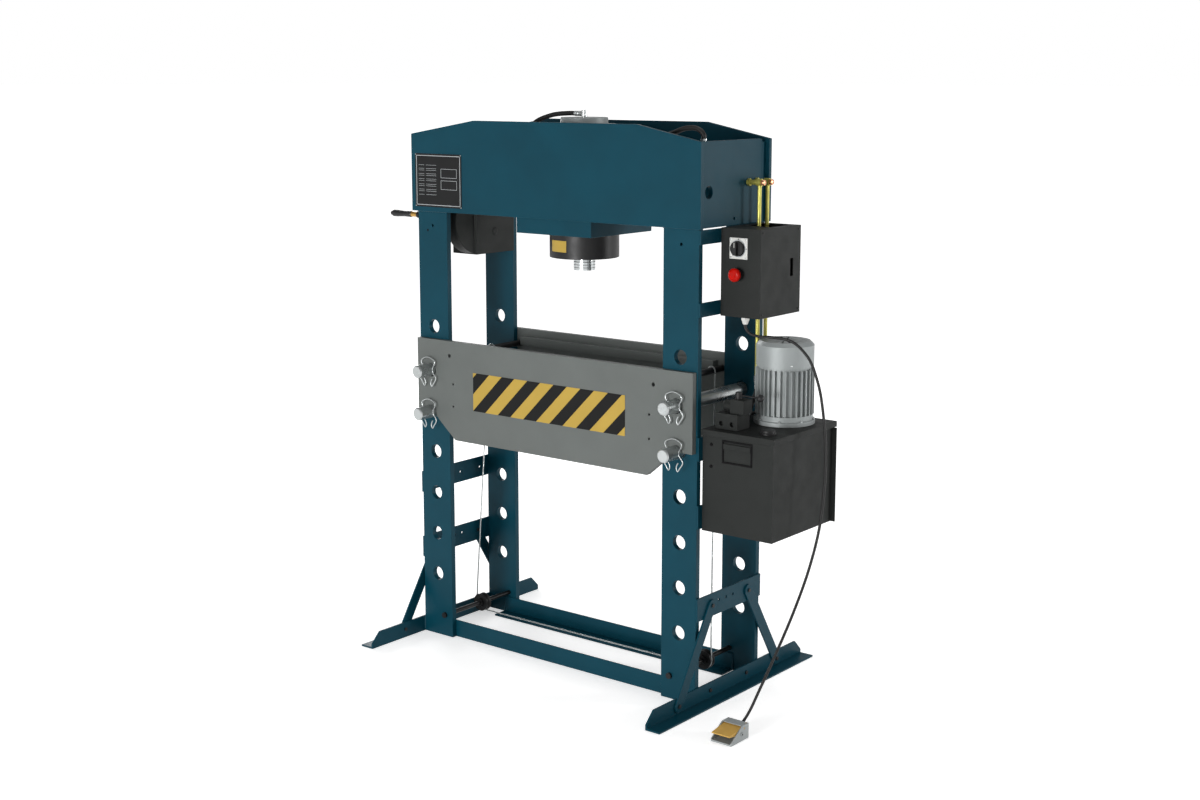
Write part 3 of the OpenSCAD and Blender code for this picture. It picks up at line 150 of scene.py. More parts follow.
BLUE = srgb(5, 57, 71)
LOOKS = {
    "blue_paint": dict(color=BLUE, roughness=0.4, mottle=0.07, grain_scale=420, grain_depth=0.00012,
                       sheen=0.12),
    "grey_paint": dict(color=srgb(94, 98, 96), roughness=0.5, mottle=0.05, grain_scale=520, sheen=0.22),
    "black_powder": dict(color=srgb(36, 38, 37), roughness=0.55, mottle=0.1, grain_scale=1500,
                         grain_depth=0.00025, sheen=0.12),
    "blackened_steel": dict(color=srgb(25, 25, 26), roughness=0.42, metallic=0.2, mottle=0.15,
                            grain_scale=900),
    "bright_steel": dict(color=srgb(178, 182, 182), roughness=0.3, metallic=0.85, mottle=0.06,
                         grain_scale=260, stretch=(1, 9, 1), grain_depth=0.00006),
    "cast_metal": dict(color=srgb(146, 151, 151), roughness=0.48, metallic=0.2, mottle=0.06,
                       grain_scale=1100, grain_depth=0.0002),
    "hose_rubber": dict(color=srgb(24, 24, 24), roughness=0.5, mottle=0.12, grain_scale=900),
    "yellow_zinc": dict(color=srgb(172, 166, 84), roughness=0.34, metallic=0.5, mottle=0.16,
                        mottle_scale=30, grain_scale=600, grain_depth=0.00005),
    "black_plastic": dict(color=srgb(26, 26, 27), roughness=0.45, mottle=0.08, grain_scale=1600),
    "brass": dict(color=srgb(190, 150, 82), roughness=0.3, metallic=0.9, mottle=0.1, mottle_scale=40,
                  grain_scale=800),
    "white_plastic": dict(color=srgb(204, 204, 200), roughness=0.4, mottle=0.03, grain_scale=1200),
    "red_plastic": dict(color=srgb(168, 12, 2), roughness=0.3, mottle=0.05, mottle_scale=30,
                        grain_scale=900, grain_depth=0.00004, sheen=0.12),
    "pedal_metal": dict(color=srgb(158, 163, 163), roughness=0.42, metallic=0.2, mottle=0.06,
                        grain_scale=1300, grain_depth=0.00015),
    "pedal_yellow": dict(color=srgb(196, 156, 78), roughness=0.45, mottle=0.06, mottle_scale=30,
                         grain_scale=1000),
    "copper": dict(color=srgb(200, 146, 112), roughness=0.32, metallic=0.8, mottle=0.12, mottle_scale=60,
                   grain_scale=900),
    "stripe_black": dict(color=srgb(24, 24, 24), roughness=0.4, mottle=0.08, grain_scale=800, sheen=0.1),
    "stripe_yellow": dict(color=srgb(172, 144, 64), roughness=0.4, mottle=0.05, grain_scale=800, sheen=0.2),
    "plate_black": dict(color=srgb(14, 15, 16), roughness=0.35, mottle=0.1, mottle_scale=20,
                        grain_scale=900, sheen=0.2),
    "plate_line": dict(color=srgb(168, 172, 174), roughness=0.4, mottle=0.06, mottle_scale=20,
                       grain_scale=900),
    # Near-black painted shade for holes, the screw socket and the outline of the tank's pull recess; the
    # tank's cover screws take it too
    "painted_hole_shade": dict(color=srgb(12, 12, 13), roughness=0.7, mottle=0.2, mottle_scale=40, sheen=0.1),
    "ground_steel": dict(color=srgb(186, 190, 191), roughness=0.2, metallic=0.9, mottle=0.03,
                         mottle_scale=4, rough_spread=0.04, grain_scale=900, stretch=(1, 1, 0.05),
                         grain_depth=0.00001),
    "ring_shadow": dict(color=srgb(96, 98, 98), roughness=0.4, metallic=0.6, mottle=0.1, mottle_scale=40),
    "weld": dict(color=BLUE, roughness=0.45, mottle=0.1, mottle_scale=60, grain_scale=500,
                 grain_depth=0.0003)}
looks = {look_name: surface(look_name, **values) for look_name, values in LOOKS.items()}
OWN_LOOKS = {"ram": "ground_steel", "piston": "ground_steel"}


def dress_nodes():
    """Each solid takes the look of its material slot, or its own."""
    for part in frame["record"]["subparts"]:
        obj = nodes[part["node"]]
        obj.data.materials.clear()
        obj.data.materials.append(looks[OWN_LOOKS.get(part["node"], part["material_slot"])])


dress_nodes()


# Mesh and curve helpers
EDGE_ANGLE = math.radians(40)
SPLIT_ANGLE = math.radians(38)


def ride(obj, body):
    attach(obj, body)
    return obj


def ease_edges(obj, width, segments):
    edges = obj.modifiers.new("edges", "BEVEL")
    edges.width = width
    edges.segments = segments
    edges.limit_method = "ANGLE"
    edges.angle_limit = EDGE_ANGLE
    return edges


def piece(name, verts, faces, look, body="frame", smooth=False, bevel=0.0):
    mesh = bpy.data.meshes.new(name)
    mesh.from_pydata([tuple(v) for v in verts], [], faces)
    mesh.validate()
    shell = bmesh.new()
    shell.from_mesh(mesh)
    bmesh.ops.recalc_face_normals(shell, faces=shell.faces)
    shell.to_mesh(mesh)
    shell.free()
    mesh.polygons.foreach_set("use_smooth", [smooth] * len(mesh.polygons))
    mesh.materials.append(looks[look])
    obj = bpy.data.objects.new(name, mesh)
    bpy.context.scene.collection.objects.link(obj)
    if bevel:
        ease_edges(obj, bevel, 3)
    return ride(obj, body)


def block(name, low, high, look, body="frame", bevel=0.0006):
    """Box between two corners, with eased edges."""
    xs, ys, zs = zip(low, high)
    verts = [(x, y, z) for x in xs for y in ys for z in zs]
    faces = [(0, 1, 3, 2), (4, 6, 7, 5), (0, 4, 5, 1), (2, 3, 7, 6), (0, 2, 6, 4), (1, 5, 7, 3)]
    return piece(name, verts, faces, look, body, bevel=bevel)


def lathe(name, profile, place, axis, look, body="frame", sides=48):
    """Turned piece: profile is a list of (radius, height) along the axis."""
    turn = Vector(UP).rotation_difference(Vector(axis))
    rings = []
    verts = []
    for radius, height in profile:
        ring = []
        for k in range(sides):
            a = 2 * math.pi * k / sides
            ring.append(len(verts))
            verts.append(Vector(place) + turn @ Vector((radius * math.cos(a), radius * math.sin(a), height)))
        rings.append(ring)
    faces = []
    for low, high in zip(rings, rings[1:]):
        for k in range(sides):
            j = (k + 1) % sides
            faces.append((low[k], low[j], high[j], high[k]))
    faces.append(tuple(reversed(rings[0])))
    faces.append(tuple(rings[-1]))
    obj = piece(name, verts, faces, look, body, smooth=True)
    sharp = obj.modifiers.new("edges", "EDGE_SPLIT")
    sharp.split_angle = SPLIT_ANGLE
    return obj


def smooth_route(route, steps=8):
    """Smooth curve through given points, with slopes weighed by the spans beside each point."""
    points = [Vector(p) for p in route]
    spans = [(q - p).length for p, q in zip(points, points[1:])]
    slopes = [(q - p) / h for p, q, h in zip(points, points[1:], spans)]
    inner = [(a * k + b * h) / (h + k) for a, b, h, k in zip(slopes, slopes[1:], spans, spans[1:])]
    tangents = [slopes[0]] + inner + [slopes[-1]]
    out = []
    for p, q, m, n, h in zip(points, points[1:], tangents, tangents[1:], spans):
        for k in range(steps):
            t = k / steps
            out.append(p * (1 + 2 * t) * (1 - t) ** 2 + m * h * t * (1 - t) ** 2
                       + q * t * t * (3 - 2 * t) + n * h * t * t * (t - 1))
    out.append(points[-1])
    return out


def tube(name, paths, radius, look, rings=5, swell=None):
    """Round tube along one or more paths, as a curve. swell gives each point's share of the radius."""
    curve = bpy.data.curves.new(name, "CURVE")
    curve.dimensions = "3D"
    curve.bevel_depth = radius
    curve.bevel_resolution = rings
    curve.use_fill_caps = True
    for path in paths:
        spline = curve.splines.new("POLY")
        spline.points.add(len(path) - 1)
        for i, (point, place) in enumerate(zip(spline.points, path)):
            point.co = (*place, 1)
            if swell:
                point.radius = swell(i)
    curve.materials.append(looks[look])
    obj = bpy.data.objects.new(name, curve)
    bpy.context.scene.collection.objects.link(obj)
    return ride(obj, "frame")


# Pedal cable, from the control box's gland to the pedal on the floor
CABLE_D = 0.009
RELIEF_LENGTH = 0.036
RELIEF_SWELL = (1.08, 1.5)
CABLE_ROUTE = [
    (0.690, -0.055, 1.232), (0.690, -0.055, 1.224), (0.700, -0.050, 1.206), (0.724, -0.040, 1.196),
    (0.770, -0.022, 1.194), (0.830, -0.004, 1.184), (0.880, 0.008, 1.140), (0.915, 0.015, 1.060),
    (0.935, 0.018, 0.960), (0.946, 0.018, 0.840), (0.948, 0.010, 0.720), (0.944, -0.010, 0.600),
    (0.934, -0.050, 0.480), (0.918, -0.105, 0.360), (0.898, -0.170, 0.240), (0.876, -0.230, 0.130),
    (0.858, -0.266, 0.058), (0.850, -0.283, 0.034), (0.848, -0.292, 0.024), (0.848, -0.298, 0.024)]


def route_length(points):
    return sum((b - a).length for a, b in zip(points, points[1:]))


def make_cable():
    points = smooth_route(CABLE_ROUTE)
    cable = tube("cable", [points], CABLE_D / 2, "hose_rubber", rings=6)
    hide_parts("pedal_cable")
    relief = [p for i, p in enumerate(points) if route_length(points[i:]) < RELIEF_LENGTH]
    start, end = RELIEF_SWELL
    tube("cable_relief", [relief], CABLE_D / 2, "black_plastic", rings=6,
         swell=lambda i: start + (end - start) * i / (len(relief) - 1))


make_cable()


# Eased edges on the carried-over solids, with the width of each solid's edges in millimetres
SEAM_WELD = 0.00002
FLAT_ANGLE = math.radians(0.4)
SOFT_EDGES = {
    "front_columns": 1.2, "rear_columns": 1.2, "head_front": 1.2, "head_rear": 1.2, "head_ends": 1.0,
    "head_ribs": 1.0, "feet": 1.0, "base_rails": 1.0, "side_straps": 1.0, "tank_straps": 1.0,
    "box_straps": 1.0, "braces": 1.0, "cylinder_mount": 1.6, "barrel": 1.2, "ring_nut": 1.2,
    "cylinder_cap": 2.0, "table_front": 1.2, "table_rear": 1.2, "table_ledges": 1.2, "winch_housing": 2.0,
    "crank_arm": 1.0, "tank_lid": 1.2, "valve_block": 1.2, "valve_body": 1.6, "control_box": 1.0,
    "switch_plate": 1.2, "motor_flange": 1.2, "pedal_housing": 1.4, "pedal_plate": 0.8,
    "filler_cap": 1.2, "frame_bolts": 0.5}


def soften(name, width):
    obj = nodes[name]
    obj.data.polygons.foreach_set("use_smooth", [True] * len(obj.data.polygons))
    weld = obj.modifiers.new("weld", "WELD")
    weld.merge_threshold = SEAM_WELD
    flats = obj.modifiers.new("flats", "DECIMATE")
    flats.decimate_type = "DISSOLVE"
    flats.angle_limit = FLAT_ANGLE
    edges = ease_edges(obj, width, 2)
    edges.use_clamp_overlap = False
    normals = obj.modifiers.new("normals", "WEIGHTED_NORMAL")
    normals.keep_sharp = True


for node_name, width_mm in SOFT_EDGES.items():
    soften(node_name, width_mm * MM)


# Hazard stripes on the front table plate
table_low, table_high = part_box("table_front")
TABLE_FACE = table_low.y
PANEL_HALF = 0.331
PANEL_DROPS = (0.234, 0.100)
PANEL_Z = [table_high.z - drop for drop in PANEL_DROPS]
STRIPE_PERIOD = 0.115
STRIPE_PHASE = 0.35
FOIL = 0.0006


def clip_x(polygon, limit, keep_above):
    """Cuts an outline of (x, z) points at x = limit."""
    def kept(p):
        return p[0] >= limit if keep_above else p[0] <= limit
    out = []
    for a, b in zip(polygon, polygon[1:] + polygon[:1]):
        if kept(a):
            out.append(a)
        if kept(a) != kept(b):
            t = (limit - a[0]) / (b[0] - a[0])
            out.append((limit, a[1] + t * (b[1] - a[1])))
    return out


def flat_prism(name, outline, y_back, y_front, look, bevel=0.0):
    """Upright plate from an outline of (x, z) points."""
    n = len(outline)
    verts = [(x, y_back, z) for x, z in outline] + [(x, y_front, z) for x, z in outline]
    faces = [tuple(range(n)), tuple(range(2 * n - 1, n - 1, -1))]
    faces += [(i, (i + 1) % n, n + (i + 1) % n, n + i) for i in range(n)]
    return piece(name, verts, faces, look, bevel=bevel)


def rounded(x0, x1, z0, z1, r, steps=6):
    """Outline of a rectangle with round corners."""
    out = []
    corners = ((x1 - r, z1 - r), (x0 + r, z1 - r), (x0 + r, z0 + r), (x1 - r, z0 + r))
    for quarter, (cx, cz) in enumerate(corners):
        for k in range(steps + 1):
            a = math.radians(90 * quarter + 90 * k / steps)
            out.append((cx + r * math.cos(a), cz + r * math.sin(a)))
    return out


def make_hazard_panel():
    z0, z1 = PANEL_Z
    lean = z1 - z0
    wide = STRIPE_PERIOD / 2
    panel_face = TABLE_FACE - FOIL
    sheet = [(-PANEL_HALF, z0), (PANEL_HALF, z0), (PANEL_HALF, z1), (-PANEL_HALF, z1)]
    flat_prism("hazard_panel", sheet, TABLE_FACE, panel_face, "stripe_black")
    x = -PANEL_HALF - lean - STRIPE_PERIOD * STRIPE_PHASE
    count = 0
    while x < PANEL_HALF:
        stripe = [(x, z0), (x + wide, z0), (x + wide + lean, z1), (x + lean, z1)]
        stripe = clip_x(clip_x(stripe, -PANEL_HALF, True), PANEL_HALF, False)
        if len(stripe) > 2:
            count += 1
            flat_prism(f"hazard_stripe_{count}", stripe, panel_face, panel_face - FOIL / 2, "stripe_yellow")
        x += STRIPE_PERIOD


make_hazard_panel()


# Bare data plate on the head, with a border, plain fields, two empty frames and rivets
HEAD_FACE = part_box("head_front")[0].y
DATA_PLATE = (-0.597, -0.378, 1.549, 1.733)
PLATE_T = 0.0012
PLATE_FACE = HEAD_FACE - PLATE_T
PLATE_CORNER = 0.006
PRINT_T = 0.0003
BORDER_INSET = 0.006
BORDER_LINE = 0.0022
FIELD_ROWS = 6
FIELD_COLUMNS = ((0.08, 0.20), (0.24, 0.46))
FIELD_DROP = 0.052
FIELD_STEP = 0.018
FIELD_HEIGHT = 0.012
FIELD_LINE = 0.0009
FRAME_COLUMN = (0.56, 0.90)
FRAME_RISES = ((0.062, 0.092), (0.102, 0.132))
FRAME_LINE = 0.0012
RIVET_INSET = 0.003
RIVET = [(0.0022, 0), (0.0022, 0.0008), (0.0012, 0.0016)]


def print_bar(name, x0, x1, z0, z1):
    """Thin bar of print on the data plate."""
    outline = [(x0, z0), (x1, z0), (x1, z1), (x0, z1)]
    flat_prism(name, outline, PLATE_FACE, PLATE_FACE - PRINT_T, "plate_line")


def make_border():
    x0, x1, z0, z1 = DATA_PLATE
    left = x0 + BORDER_INSET
    right = x1 - BORDER_INSET
    low = z0 + BORDER_INSET
    high = z1 - BORDER_INSET
    bars = ((left, right, low, low + BORDER_LINE), (left, right, high - BORDER_LINE, high),
            (left, left + BORDER_LINE, low, high), (right - BORDER_LINE, right, low, high))
    for i, bar in enumerate(bars):
        print_bar(f"data_plate_border_{i + 1}", *bar)


def make_fields():
    x0, x1, z0, z1 = DATA_PLATE
    width = x1 - x0
    for i in range(FIELD_ROWS):
        row_z = z1 - FIELD_DROP - i * FIELD_STEP
        for j, (a, b) in enumerate(FIELD_COLUMNS):
            for k, z in enumerate((row_z, row_z + FIELD_HEIGHT)):
                print_bar(f"data_plate_field_{i}_{j}_{k}", x0 + a * width, x0 + b * width, z, z + FIELD_LINE)
    left, right = (x0 + share * width for share in FRAME_COLUMN)
    for i, (low_rise, high_rise) in enumerate(FRAME_RISES):
        low = z0 + low_rise
        high = z0 + high_rise
        bars = ((left, right, low, low + FRAME_LINE), (left, right, high, high + FRAME_LINE),
                (left, left + FRAME_LINE, low, high), (right - FRAME_LINE, right, low, high))
        for k, bar in enumerate(bars):
            print_bar(f"data_plate_frame_{i}_{k}", *bar)


def make_data_plate():
    x0, x1, z0, z1 = DATA_PLATE
    outline = rounded(x0, x1, z0, z1, PLATE_CORNER)
    flat_prism("data_plate", outline, HEAD_FACE, PLATE_FACE, "plate_black", bevel=0.0004)
    make_border()
    make_fields()
    rivets = [(x, z) for z in (z0 + RIVET_INSET, z1 - RIVET_INSET)
              for x in (x0 + RIVET_INSET, x1 - RIVET_INSET)]
    for i, (x, z) in enumerate(rivets):
        lathe(f"data_plate_rivet_{i + 1}", RIVET, (x, PLATE_FACE, z), FRONT, "bright_steel", sides=16)


make_data_plate()


# Spring clips bent from round wire, half of one in millimetres about its pin
PIN_X = 0.533
PIN_Z = (0.8268, 0.9768)
CLIP_Y = -0.2175
CLIP_WIRE_R = 0.002
CLIP_HALF = [
    (0.0, 46.0), (16.95, 42.0), (31.6, 31.0), (28.6, 18.6), (22.6, 10.0), (22.6, -6.0), (30.6, -16.0),
    (36.6, -24.0), (24.6, -48.0), (17.6, -57.0), (12.6, -48.0), (14.6, -38.0), (19.6, -30.0)]


def make_clips():
    side = [(x * MM, z * MM) for x, z in CLIP_HALF]
    line = [(-x, z) for x, z in reversed(side[1:])] + side
    paths = []
    for x in (-PIN_X, PIN_X):
        for z in PIN_Z:
            paths.append(smooth_route([(x + a, CLIP_Y, z + b) for a, b in line], 6))
    clips = tube("clip_wires", paths, CLIP_WIRE_R, "bright_steel", rings=3)
    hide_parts("pin_clips")


make_clips()


# Laid wire rope in place of its plain solid
TIE = (0.443, 1.0338)
AXLE = (0.500, 0.078)
TIE_WRAP = 0.0141
TIE_ANGLES = range(-60, 181, 15)
TIE_RUN = 0.040
GROOVE_WRAP = 0.0278
GROOVE_ANGLES = range(0, 91, 10)
GROOVE_RUN = 0.060
GROOVE_LEAN = 0.003
ROPE_D = 0.005
ROPE_Y = 0.016
ROPE_END_Y = 0.120
ROPE_STEP = 0.003
LAY_LENGTH = 0.036
STRANDS = 6
STRAND_OFFSET = ROPE_D * 0.32
STRAND_R = ROPE_D * 0.18


def rope_half(side, y):
    """Rope from round its tie rod down to the bottom of its pulley."""
    points = []
    for a in TIE_ANGLES:
        r = math.radians(a)
        points.append((side * (TIE[0] - TIE_WRAP * math.cos(r)), y, TIE[1] + TIE_WRAP * math.sin(r)))
    points.append((side * (TIE[0] + TIE_WRAP), y, TIE[1] - TIE_RUN))
    points.append((side * (AXLE[0] + GROOVE_WRAP - GROOVE_LEAN), ROPE_Y, AXLE[1] + GROOVE_RUN))
    for a in GROOVE_ANGLES:
        r = math.radians(a)
        x = AXLE[0] + GROOVE_WRAP * math.cos(r)
        points.append((side * x, ROPE_Y, AXLE[1] - GROOVE_WRAP * math.sin(r)))
    return points


def resample(points, step):
    """Points at even steps along a path."""
    out = [points[0]]
    carry = 0.0
    for a, b in zip(points, points[1:]):
        run = (b - a).length
        at = step - carry
        while at <= run:
            out.append(a + (b - a) * (at / run))
            at += step
        carry = run - (at - step)
    return out


def make_rope():
    line = [Vector(p) for p in rope_half(-1, ROPE_Y) + rope_half(1, ROPE_END_Y)[::-1]]
    core = resample(line, ROPE_STEP)
    normal = Vector((0, 1, 0))
    paths = [[] for _ in range(STRANDS)]
    for i, p in enumerate(core):
        ahead = (core[min(i + 1, len(core) - 1)] - core[max(i - 1, 0)]).normalized()
        normal = (normal - ahead * normal.dot(ahead)).normalized()
        other = ahead.cross(normal)
        for k in range(STRANDS):
            a = 2 * math.pi * (k / STRANDS + i * ROPE_STEP / LAY_LENGTH)
            paths[k].append(p + (normal * math.cos(a) + other * math.sin(a)) * STRAND_OFFSET)
    rope = tube("rope_strands", paths, STRAND_R, "bright_steel", rings=1)
    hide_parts("rope")


make_rope()


# Hoses as smooth tubes, with crimped sleeves
HEAD_HOSE_R = 0.008
PUMP_HOSE_R = 0.0065
HOSE_TOP = [
    (-0.014, 0.0, 1.874), (-0.070, 0.0, 1.874), (-0.140, -0.008, 1.866), (-0.205, -0.020, 1.838),
    (-0.248, -0.008, 1.788), (-0.248, 0.040, 1.734), (-0.205, 0.100, 1.698), (-0.120, 0.146, 1.688),
    (0.0, 0.156, 1.688), (0.150, 0.154, 1.686), (0.320, 0.142, 1.683), (0.430, 0.130, 1.668),
    (0.491, 0.130, 1.665), (0.531, 0.130, 1.665)]
HOSE_SIDE = [
    (0.145, -0.040, 1.700), (0.170, -0.040, 1.700), (0.215, -0.054, 1.717), (0.280, -0.084, 1.749),
    (0.370, -0.108, 1.795), (0.450, -0.112, 1.822), (0.505, -0.112, 1.838), (0.542, -0.112, 1.836),
    (0.560, -0.112, 1.824), (0.565, -0.112, 1.815), (0.565, -0.112, 1.806)]
PUMP_HOSE_A = [
    (0.645, 0.084, 1.024), (0.645, 0.084, 1.006), (0.649, 0.058, 0.964), (0.677, 0.004, 0.956),
    (0.695, -0.037, 0.944), (0.695, -0.065, 0.944)]
PUMP_HOSE_B = [
    (0.645, 0.130, 0.969), (0.645, 0.130, 0.957), (0.637, 0.096, 0.923), (0.631, 0.040, 0.925),
    (0.641, -0.016, 0.921), (0.655, -0.043, 0.921), (0.655, -0.065, 0.921)]
SLEEVES = {
    "sleeve_top": (HOSE_TOP, HEAD_HOSE_R), "sleeve_side": (HOSE_SIDE, HEAD_HOSE_R),
    "sleeve_pump_a": (PUMP_HOSE_A, PUMP_HOSE_R), "sleeve_pump_b": (PUMP_HOSE_B, PUMP_HOSE_R),
    "sleeve_block_a": (PUMP_HOSE_A[::-1], PUMP_HOSE_R), "sleeve_block_b": (PUMP_HOSE_B[::-1], PUMP_HOSE_R)}
SLEEVE_LENGTH = 0.026
SLEEVE_CRIMPS = 4
# Radii and places along a sleeve, as shares of the hose's radius and of the sleeve's length
SLEEVE_START = (0.9, 0)
SLEEVE_FIRST = 0.08
SLEEVE_PITCH = 0.23
SLEEVE_CRIMP = ((1.12, 0), (1.12, 0.13), (1.03, 0.17))
SLEEVE_END = ((1.1, 0.97), (1.02, 1))


def make_hoses():
    head = tube("head_hose_lines", [smooth_route(HOSE_TOP), smooth_route(HOSE_SIDE)], HEAD_HOSE_R,
                "hose_rubber", rings=6)
    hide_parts("head_hoses")
    pump = tube("pump_hose_lines", [smooth_route(PUMP_HOSE_A), smooth_route(PUMP_HOSE_B)], PUMP_HOSE_R,
                "hose_rubber", rings=6)
    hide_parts("pump_hoses")


def sleeve(name, route, radius):
    """Crimped sleeve over the start of a hose."""
    start = Vector(route[0])
    axis = (Vector(route[1]) - start).normalized()
    shares = [SLEEVE_START]
    for i in range(SLEEVE_CRIMPS):
        crimp = SLEEVE_FIRST + SLEEVE_PITCH * i
        shares += [(out, crimp + along) for out, along in SLEEVE_CRIMP]
    shares += SLEEVE_END
    profile = [(radius * out, SLEEVE_LENGTH * along) for out, along in shares]
    lathe(name, profile, start, axis, "bright_steel", sides=32)


make_hoses()
for sleeve_name, (hose_route, hose_r) in SLEEVES.items():
    sleeve(sleeve_name, hose_route, hose_r)


# Copper caps on the banjo bolts
BANJO_X = 0.654
BANJO_Z = 1.665
BANJO_YS = (0.084, 0.130)
BANJO_CAP = [(0.0088, 0.0), (0.0095, 0.0015), (0.0095, 0.008), (0.0085, 0.0105), (0.005, 0.0118)]
for banjo, banjo_y in enumerate(BANJO_YS):
    lathe(f"banjo_cap_{banjo + 1}", BANJO_CAP, (BANJO_X, banjo_y, BANJO_Z), RIGHT, "copper", sides=32)


# Mushroom button with a dished crown, whose radii are shares of the button's own
BUTTON_DEPTH = 0.016
BUTTON_STEM = [(0.005, -0.031), (0.005, 0.0)]
BUTTON_CROWN = [
    (0.7, 0.0), (0.94, 0.0012), (1, 0.004), (1, 0.0075), (0.97, 0.0105), (0.88, 0.0135), (0.72, 0.0153),
    (0.55, BUTTON_DEPTH), (0.3, BUTTON_DEPTH - 0.0006)]
BUTTON_EYE = [(0.001, BUTTON_DEPTH - 0.001)]


def make_stop_button():
    low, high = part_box("stop_button")
    radius = (high.x - low.x) / 2
    place = ((low.x + high.x) / 2, low.y + BUTTON_DEPTH, (low.z + high.z) / 2)
    crown = [(radius * share, height) for share, height in BUTTON_CROWN]
    button = lathe("stop_mushroom", BUTTON_STEM + crown + BUTTON_EYE, place, FRONT, "red_plastic",
                   "stop_button", 64)
    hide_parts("stop_button")


make_stop_button()


# Switch: bezel ring, two marks and screws on the plate, a pointer line and a ribbed skirt on the knob
BEZEL = [(0.0275, 0.0), (0.0275, 0.0006), (0.0262, 0.0012), (0.0246, 0.0008), (0.0246, 0.0)]
MARK_R = 0.0292
MARK_HALF = 0.0016
MARK_T = 0.0005
MARK_ANGLES = (0, 90)
SWITCH_SCREW_REACH = 0.0275
SWITCH_SCREW = [(0.0026, 0), (0.0026, 0.0007), (0.0016, 0.0014)]
POINTER_HALF = 0.0011
POINTER_SPAN = (0.004, 0.019)
POINTER_PROUD = 0.0005
POINTER_SUNK = 0.0006
SKIRT_BACK = 0.012
RIBS = 36
RIB_SECTION = ((-0.045, 0.0228), (-0.025, 0.0236), (0.025, 0.0236), (0.045, 0.0228))
RIB_ENDS = (0.0012, 0.0108)


def make_switch_plate_trim(x, face, z):
    lathe("switch_bezel", BEZEL, (x, face, z), FRONT, "plate_line")
    for i, angle in enumerate(MARK_ANGLES):
        a = math.radians(angle)
        cx = x + MARK_R * math.sin(a)
        cz = z + MARK_R * math.cos(a)
        block(f"switch_mark_{i + 1}", (cx - MARK_HALF, face - MARK_T, cz - MARK_HALF),
              (cx + MARK_HALF, face, cz + MARK_HALF), "stripe_black", bevel=0.0003)
    corners = [(sx * SWITCH_SCREW_REACH, sz * SWITCH_SCREW_REACH) for sx in (-1, 1) for sz in (-1, 1)]
    for i, (dx, dz) in enumerate(corners):
        lathe(f"switch_screw_{i + 1}", SWITCH_SCREW, (x + dx, face, z + dz), FRONT, "bright_steel", sides=20)


def make_knob_trim(x, face, z):
    low, high = POINTER_SPAN
    block("switch_pointer", (x - POINTER_HALF, face - POINTER_PROUD, z + low),
          (x + POINTER_HALF, face + POINTER_SUNK, z + high), "white_plastic", "switch_knob", bevel=0.0003)
    verts = []
    faces = []
    skirt = face + SKIRT_BACK
    for k in range(RIBS):
        a = 2 * math.pi * k / RIBS
        for da, r in RIB_SECTION:
            for end in RIB_ENDS:
                verts.append((x + r * math.cos(a + da), skirt + end, z + r * math.sin(a + da)))
        n = 8 * k
        faces += [(n, n + 1, n + 3, n + 2), (n + 2, n + 3, n + 5, n + 4), (n + 4, n + 5, n + 7, n + 6),
                  (n, n + 2, n + 4, n + 6), (n + 1, n + 7, n + 5, n + 3), (n, n + 6, n + 7, n + 1)]
    piece("switch_ribs", verts, faces, "black_plastic", "switch_knob")


def make_switch_trim():
    low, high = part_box("switch_plate")
    x = (low.x + high.x) / 2
    z = (low.z + high.z) / 2
    make_switch_plate_trim(x, low.y, z)
    make_knob_trim(x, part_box("switch_knob")[0].y, z)


make_switch_trim()


# Turned grooves near the ram's end, drawn as rings barely proud of it
RAM_RINGS = 5
RAM_RING_FIRST = 0.008
RAM_RING_STEP = 0.0095
RAM_RING = ((-0.0006, 0.0), (0.0002, 0.0004), (0.0002, 0.0024), (-0.0006, 0.0028))


def make_ram_rings():
    low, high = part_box("ram")
    radius = (high.x - low.x) / 2
    profile = [(radius + proud, height) for proud, height in RAM_RING]
    for i in range(RAM_RINGS):
        z = low.z + RAM_RING_FIRST + i * RAM_RING_STEP
        lathe(f"ram_ring_{i + 1}", profile, (0, 0, z), UP, "ring_shadow", "ram", 64)


make_ram_rings()


# Blind cap over the winch shaft's end, and the second small hole of the left front column, drawn as a
# near-flush dark disc of painted shade
WINCH_CAP = [(0.0135, 0.0), (0.0135, 0.0012), (0.0120, 0.0024), (0.004, 0.0026)]
COLUMN_HOLE_SHADE = [(0.0042, -0.0002), (0.0042, 0.0003), (0.0034, 0.0004), (0.001, 0.0004)]
COLUMN_HOLE_X = -0.556
COLUMN_HOLE_Z = 1.466


def make_small_marks():
    low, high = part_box("winch_drum")
    shaft_end = (high.x, (low.y + high.y) / 2, (low.z + high.z) / 2)
    lathe("winch_cap", WINCH_CAP, shaft_end, RIGHT, "black_powder", sides=40)
    column_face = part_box("front_columns")[0].y
    lathe("column_hole_shade", COLUMN_HOLE_SHADE, (COLUMN_HOLE_X, column_face, COLUMN_HOLE_Z), FRONT, "painted_hole_shade",
          sides=24)


make_small_marks()


# Plain yellow field on the barrel
BARREL_R = 0.118
BARREL_FIELD_ANGLES = (-117, -82)
BARREL_FIELD_Z = (1.418, 1.456)
PATCH_STEPS = 12


def make_barrel_field():
    start, end = BARREL_FIELD_ANGLES
    verts = []
    for r in (BARREL_R, BARREL_R + FOIL):
        for k in range(PATCH_STEPS + 1):
            a = math.radians(start + (end - start) * k / PATCH_STEPS)
            for z in BARREL_FIELD_Z:
                verts.append((r * math.cos(a), r * math.sin(a), z))
    half = 2 * (PATCH_STEPS + 1)
    faces = []
    for k in range(PATCH_STEPS):
        n = 2 * k
        faces.append((n, n + 1, n + 3, n + 2))
        faces.append((half + n, half + n + 2, half + n + 3, half + n + 1))
        faces.append((n, n + 2, half + n + 2, half + n))
        faces.append((n + 1, half + n + 1, half + n + 3, n + 3))
    faces.append((0, half, half + 1, 1))
    faces.append((half - 2, half - 1, 2 * half - 1, 2 * half - 2))
    piece("barrel_field", verts, faces, "stripe_yellow")


make_barrel_field()


